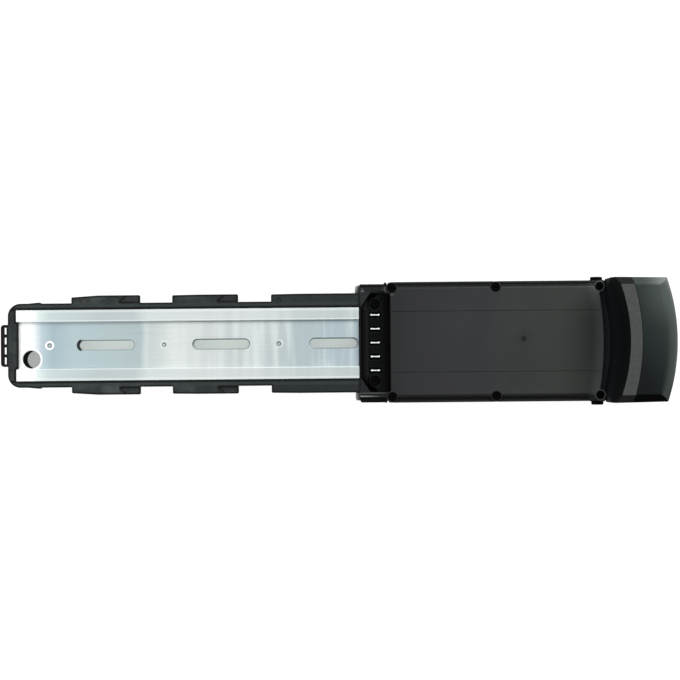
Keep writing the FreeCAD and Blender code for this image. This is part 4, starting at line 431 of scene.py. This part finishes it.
def aluminium():
    """Brushed extrusion with painted reflection, grey-blue towards the lock and paler behind it, with
    painted reflection bands across it and long brushed streaks, and painted highlights and shade along its
    steps, edges and slots.
    """
    g = Graph("rail_aluminium")
    off = g.away(g.y)
    streaks = g.noise(900, rough=0.6, stretch=(60, 1, 1))
    bands = g.noise(110, stretch=(1, 12, 12), shift=(0.4, 0, 0))
    wave = g.times(g.minus(g.noise(40, detail=2, stretch=(4, 1, 1)), 0.5), 0.004)
    place = g.math("DIVIDE", g.minus(g.plus(g.x, wave), RAIL_START), RAIL_LENGTH)
    # Painted reflection: these colour stops along the rail stand in for what the metal mirrors, white at the
    # lock end.
    middle = g.stops(place, (0.045, WHITE), (0.078, "b7c6cc"), (0.11, "a0b3ba"), (0.17, "adbec1"),
                     (0.362, "aab8b9"), (0.377, "c7d0cf"), (0.392, "bfc8c6"), (0.42, "c9d0cd"),
                     (0.46, "d5dad6"), (0.58, "c8ccca"), (0.72, "bdc6c4"), (0.82, "abb7b8"),
                     (0.9, "a9b7bb"), (1.0, "a2b0b5"))
    ledges = g.stops(place, (0.05, WHITE), (0.07, "d9e3e0"), (0.1, "c3cfcf"), (0.24, "b6c0c0"),
                     (0.345, "b7c1c1"), (0.385, "ccd4d3"), (0.5, "cfd3d1"), (0.7, "c8cccb"),
                     (0.82, "bdc6c4"), (1.0, "b5bebd"))
    on_ledge = g.rise(off, 0.0174, 0.0178)
    g.coat(g.mix(on_ledge, middle, ledges))

    # Painted reflection bands across the rail, lighter and darker.
    cross = g.times(g.rise(g.x, -0.15, -0.06), g.plus(0.5, g.times(on_ledge, -0.3)))
    g.tint(g.times(g.rise(bands, 0.45, 0.65), cross), "dbe5e4")
    g.tint(g.times(g.fall(bands, 0.35, 0.52), cross), "a2b0b8", 0.6)
    g.tint(g.rise(streaks, 0.45, 0.85), "8f9ea4", 0.2)

    # Painted shade: a dark line at the step of the +Y ledge.
    ledge_step_shade = g.times(g.near(g.y, 0.0172, HAIR, CRISP), g.ramp(g.x, -0.16, -0.1, 0.05, 0.7))
    g.tint(ledge_step_shade, "5f6d6e")
    # Painted highlights along the ledges' inner edges and near the rail's outer edges.
    for across, place, half, soft, shade, share in ((g.y, 0.018, DULL, CRISP, "eaf1f0", 0.6),
                                                    (g.y, -0.0178, CRISP, CRISP, "f2f6f6", 0.35),
                                                    (off, 0.0255, DULL, 0.0007, "f2f6f5", 0.35)):
        g.tint(g.near(across, place, half, soft), shade, share)

    # Painted highlight round the lock hole.
    hole_rim_highlight = g.ring(LOCK_HOLE, 0.0078, SOFT, BLURRED)
    g.tint(hole_rim_highlight, WHITE, 0.8)
    # In the photo a dark crescent closes the first slot's end towards the lock.
    end = SLOTS[0][0]
    # Painted shade: the slot's end wall and a crescent beside it are near black.
    wall = g.times(g.fall(g.facing(), 0.3, 0.6), g.fall(g.x, end, end + 0.002),
                   g.spot((end, 0), 0.005, 0.001))
    g.tint(wall, "040505")
    crescent = g.times(g.ring((end, 0), 0.0039, BLURRED, CRISP), g.fall(g.x, end - 0.002, end - 0.0005))
    g.tint(crescent, "060707")
    # Painted shade round the slots' rims, deepest on the +Y side.
    slot_rim_shade = g.most(g.times(g.capsule(SLOTS[0], 0.0037, CRISP), 0.6), g.capsule(SLOTS[1], 0.0038, DULL),
                       g.capsule(SLOTS[2], 0.0038, DULL))
    g.tint(g.times(slot_rim_shade, g.ramp(g.y, -0.0035, 0.0015, 0.6, 0.95)), "4c595b")

    g.set(Metallic=0.35, Roughness=g.plus(0.34, g.times(crescent, 0.6), g.times(streaks, 0.15)))
    g.relief(streaks, 0.000012, rounding=CRISP)
    return g


def metal(name, colour, rough, metallic=1.0, stretch=(1, 1, 1), worn="6c7276"):
    """Bare or plated metal with fine grain, duller where it is worn."""
    g = Graph(name)
    grain = g.noise(700, rough=0.6, stretch=stretch)
    g.coat(g.mix(g.times(grain, 0.4), colour, worn))
    g.set(Metallic=metallic, Roughness=g.plus(rough, g.times(grain, 0.15)))
    g.relief(grain, 0.00001, rounding=HAIR)
    return g


def rail_zinc():
    """Countersunk heads with painted reflection as pale as the rail round them, a painted highlight ring on
    each head, and painted shade in a dark ring round each socket.
    """
    g = metal("zinc_rail", "dfe6e6", 0.4, metallic=0.3)
    # Painted reflection: each head takes the tone of the rail round it, with a painted highlight ring.
    head_reflection_tones = (("c3d0d6", WHITE), ("ccd3d0", "d3dad8"), ("b2bcbc", "c6cecd"))
    for x, (head, head_rim_highlight) in zip(RAIL_SCREW_XS, head_reflection_tones):
        g.tint(g.spot((x, 0), 0.0036, SOFT), head, 0.9)
        g.tint(g.ring((x, 0), 0.0028, DULL, CRISP), head_rim_highlight, 0.9)
        # Painted shade in a dark ring round the socket.
        g.tint(g.ring((x, 0), 0.00145, LINE, SOFT), "4e5658", 0.9)
        g.tint(g.spot((x, 0.0001), SOFT, BLURRED), "e8eeee")
    return g


def black_steel():
    g = metal("black_steel", "030303", 0.6, metallic=0.0, worn="070707")
    g.set(Specular_IOR_Level=0.04)
    return g


def plating():
    g = Graph("blade_plating")
    wear = g.noise(500, detail=2, stretch=(8, 1, 1))
    g.coat(g.mix(wear, "fbfcfc", WHITE))
    g.set(Metallic=0.2, Roughness=g.plus(0.2, g.times(wear, 0.1)))
    g.relief(wear, 0.00001)
    return g


def buffer():
    """Grey rubber, with painted shade that darkens it where it meets the box."""
    g = moulded("buffer_rubber", "a9a9a9", "bcbcbc", rough=0.7)
    # Painted shade towards the box.
    g.tint(g.rise(g.x, 0.0155, 0.0189), "4a4b4b")
    return g


def paint(graph, *nodes):
    for node in nodes:
        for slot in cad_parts[node].material_slots:
            slot.material = graph.material


paint(tray(), "rail_tray")
paint(aluminium(), "rail_plate")
paint(rail_zinc(), "rail_screws")
paint(shell(), "lower_shell")
paint(cover(), "top_cover")
paint(connector(), "connector_block")
paint(plating(), *[f"contact_blade_{number}" for number in range(1, 6)])
paint(buffer(), "front_buffers")
paint(black_steel(), "cover_screws", "connector_screws", "side_screws", "side_washers")
paint(strip(), "hood_frame")
paint(dome(), "hood_dome")

# The pieces inside, and those seen only from below.
paint(metal("strike_steel", "aeb4b6", 0.35, stretch=(12, 1, 1)), "lock_strike_plate")
paint(metal("zinc_steel", "c4cacc", 0.35), "strike_screws", "tray_screws", "hood_screws", "board_screws")
paint(metal("insert_brass", "c8a95c", 0.3), "cover_inserts", "side_inserts")
paint(metal("spreader_aluminium", "aeb6ba", 0.4, stretch=(20, 1, 1)), "heat_spreader")
paint(moulded("seal_rubber", "0b0c0c", "131414", rough=0.75), "cover_gasket", "connector_gasket",
      "cable_grommet")
for node, name, dark, light, rough in (
        ("controller_board", "board_laminate", "0e3a28", "15503a", 0.4),
        ("power_transistors", "part_epoxy", "141416", "1e1e20", 0.4),
        ("smoothing_capacitors", "capacitor_sleeve", "1c2438", "28324a", 0.3),
        ("signal_header", "header_nylon", "d8d4c4", "e6e2d4", 0.45),
        ("negative_lead", "lead_black", "121314", "1c1d1e", 0.45),
        ("positive_lead", "lead_red", "8c1a16", "a8241e", 0.45),
        ("signal_leads", "lead_grey", "5a5c5e", "707274", 0.45)):
    paint(moulded(name, dark, light, rough), node)


def floor_white():
    """White, with some light of its own for the camera, so that it stays white beside the object.

    It is shaded where the object hides the sky from it, and it is clear from below.
    """
    g = Graph("floor_white")
    g.set(Base_Color="fafafa", Roughness=0.9)
    sky_seen = g.add("ShaderNodeAmbientOcclusion", {"Distance": 0.06}, samples=32).outputs["AO"]
    hidden, deep = g.fall(sky_seen, 0.16, 0.42), g.fall(sky_seen, 0.05, 0.15)
    colour = g.mix(deep, g.mix(hidden, WHITE, "d8e5df"), "b9bbbb")
    glow = g.add("ShaderNodeEmission", {"Color": colour, "Strength": 1.12}).outputs[0]
    ray = g.add("ShaderNodeLightPath").outputs
    seen = g.most(ray["Is Camera Ray"], ray["Is Glossy Ray"], ray["Is Transmission Ray"])
    share = g.times(seen, g.plus(0.84, g.times(hidden, -0.2)))
    lit = g.blend(share, g.shader.outputs[0], glow)
    clear = g.add("ShaderNodeBsdfTransparent").outputs[0]
    g.put(g.surface, g.blend(g.geometry["Backfacing"], lit, clear))
    return g


FLOOR_SIDE = 6
FLOOR_Z = -0.0002  # just under the object's flat underside
bpy.ops.mesh.primitive_plane_add(size=FLOOR_SIDE, location=(0, 0, FLOOR_Z))
floor = bpy.context.object
floor.name = "floor"
floor.data.materials.append(floor_white().material)


def studio():
    """Soft light from all round, stronger from +Y, and plain white where the camera sees past the floor."""
    world = bpy.data.worlds.new("studio")
    bpy.context.scene.world = world
    world.use_nodes = True
    nodes = world.node_tree.nodes
    g = Tree(world.node_tree)
    along_y = g.split(g.add("ShaderNodeTexCoord").outputs["Generated"])["Y"]
    strength = g.add("ShaderNodeMapRange", {0: along_y, 1: -0.7, 2: 0.8, 3: 0.25, 4: 0.9}).outputs[0]
    sky = nodes["Background"]
    g.put(sky.inputs["Color"], (0.96, 0.98, 1.0, 1))
    g.put(sky.inputs["Strength"], strength)
    backdrop = g.add("ShaderNodeBackground", {"Color": WHITE})
    ray = g.add("ShaderNodeLightPath").outputs
    g.put(nodes["World Output"].inputs["Surface"],
          g.blend(ray["Is Camera Ray"], sky.outputs[0], backdrop.outputs[0]))


def area_light(name, place, target, size, power):
    data = bpy.data.lights.new(name, "AREA")
    data.shape = "RECTANGLE"
    data.size, data.size_y = size
    data.energy = power
    lamp = bpy.data.objects.new(name, data)
    bpy.context.scene.collection.objects.link(lamp)
    lamp.location = place
    lamp.rotation_euler = (Vector(target) - Vector(place)).to_track_quat("-Z", "Y").to_euler()


studio()
area_light("key", place=(1.1, 1.2, 1.3), target=(0.05, 0, 0), size=(1.2, 0.9), power=46)
area_light("fill", place=(-1.2, -0.6, 1.6), target=(0, 0, 0), size=(1.2, 1.2), power=12)

# The camera looks straight down, as in the photo, but for a slight tilt across the dock and a slight turn.
CAMERA_PLACE = (0.0037, -0.014, 1.324)
CAMERA_TILT, CAMERA_TURN = math.radians(0.715), math.radians(-0.52)
camera = bpy.data.cameras.new("camera")
camera.sensor_width = 36
camera.lens = 91.76
eye = bpy.data.objects.new("camera", camera)
bpy.context.scene.collection.objects.link(eye)
eye.location = CAMERA_PLACE
eye.rotation_euler = (CAMERA_TILT, 0, CAMERA_TURN)
bpy.context.scene.camera = eye
bpy.context.scene.view_settings.view_transform = "Standard"
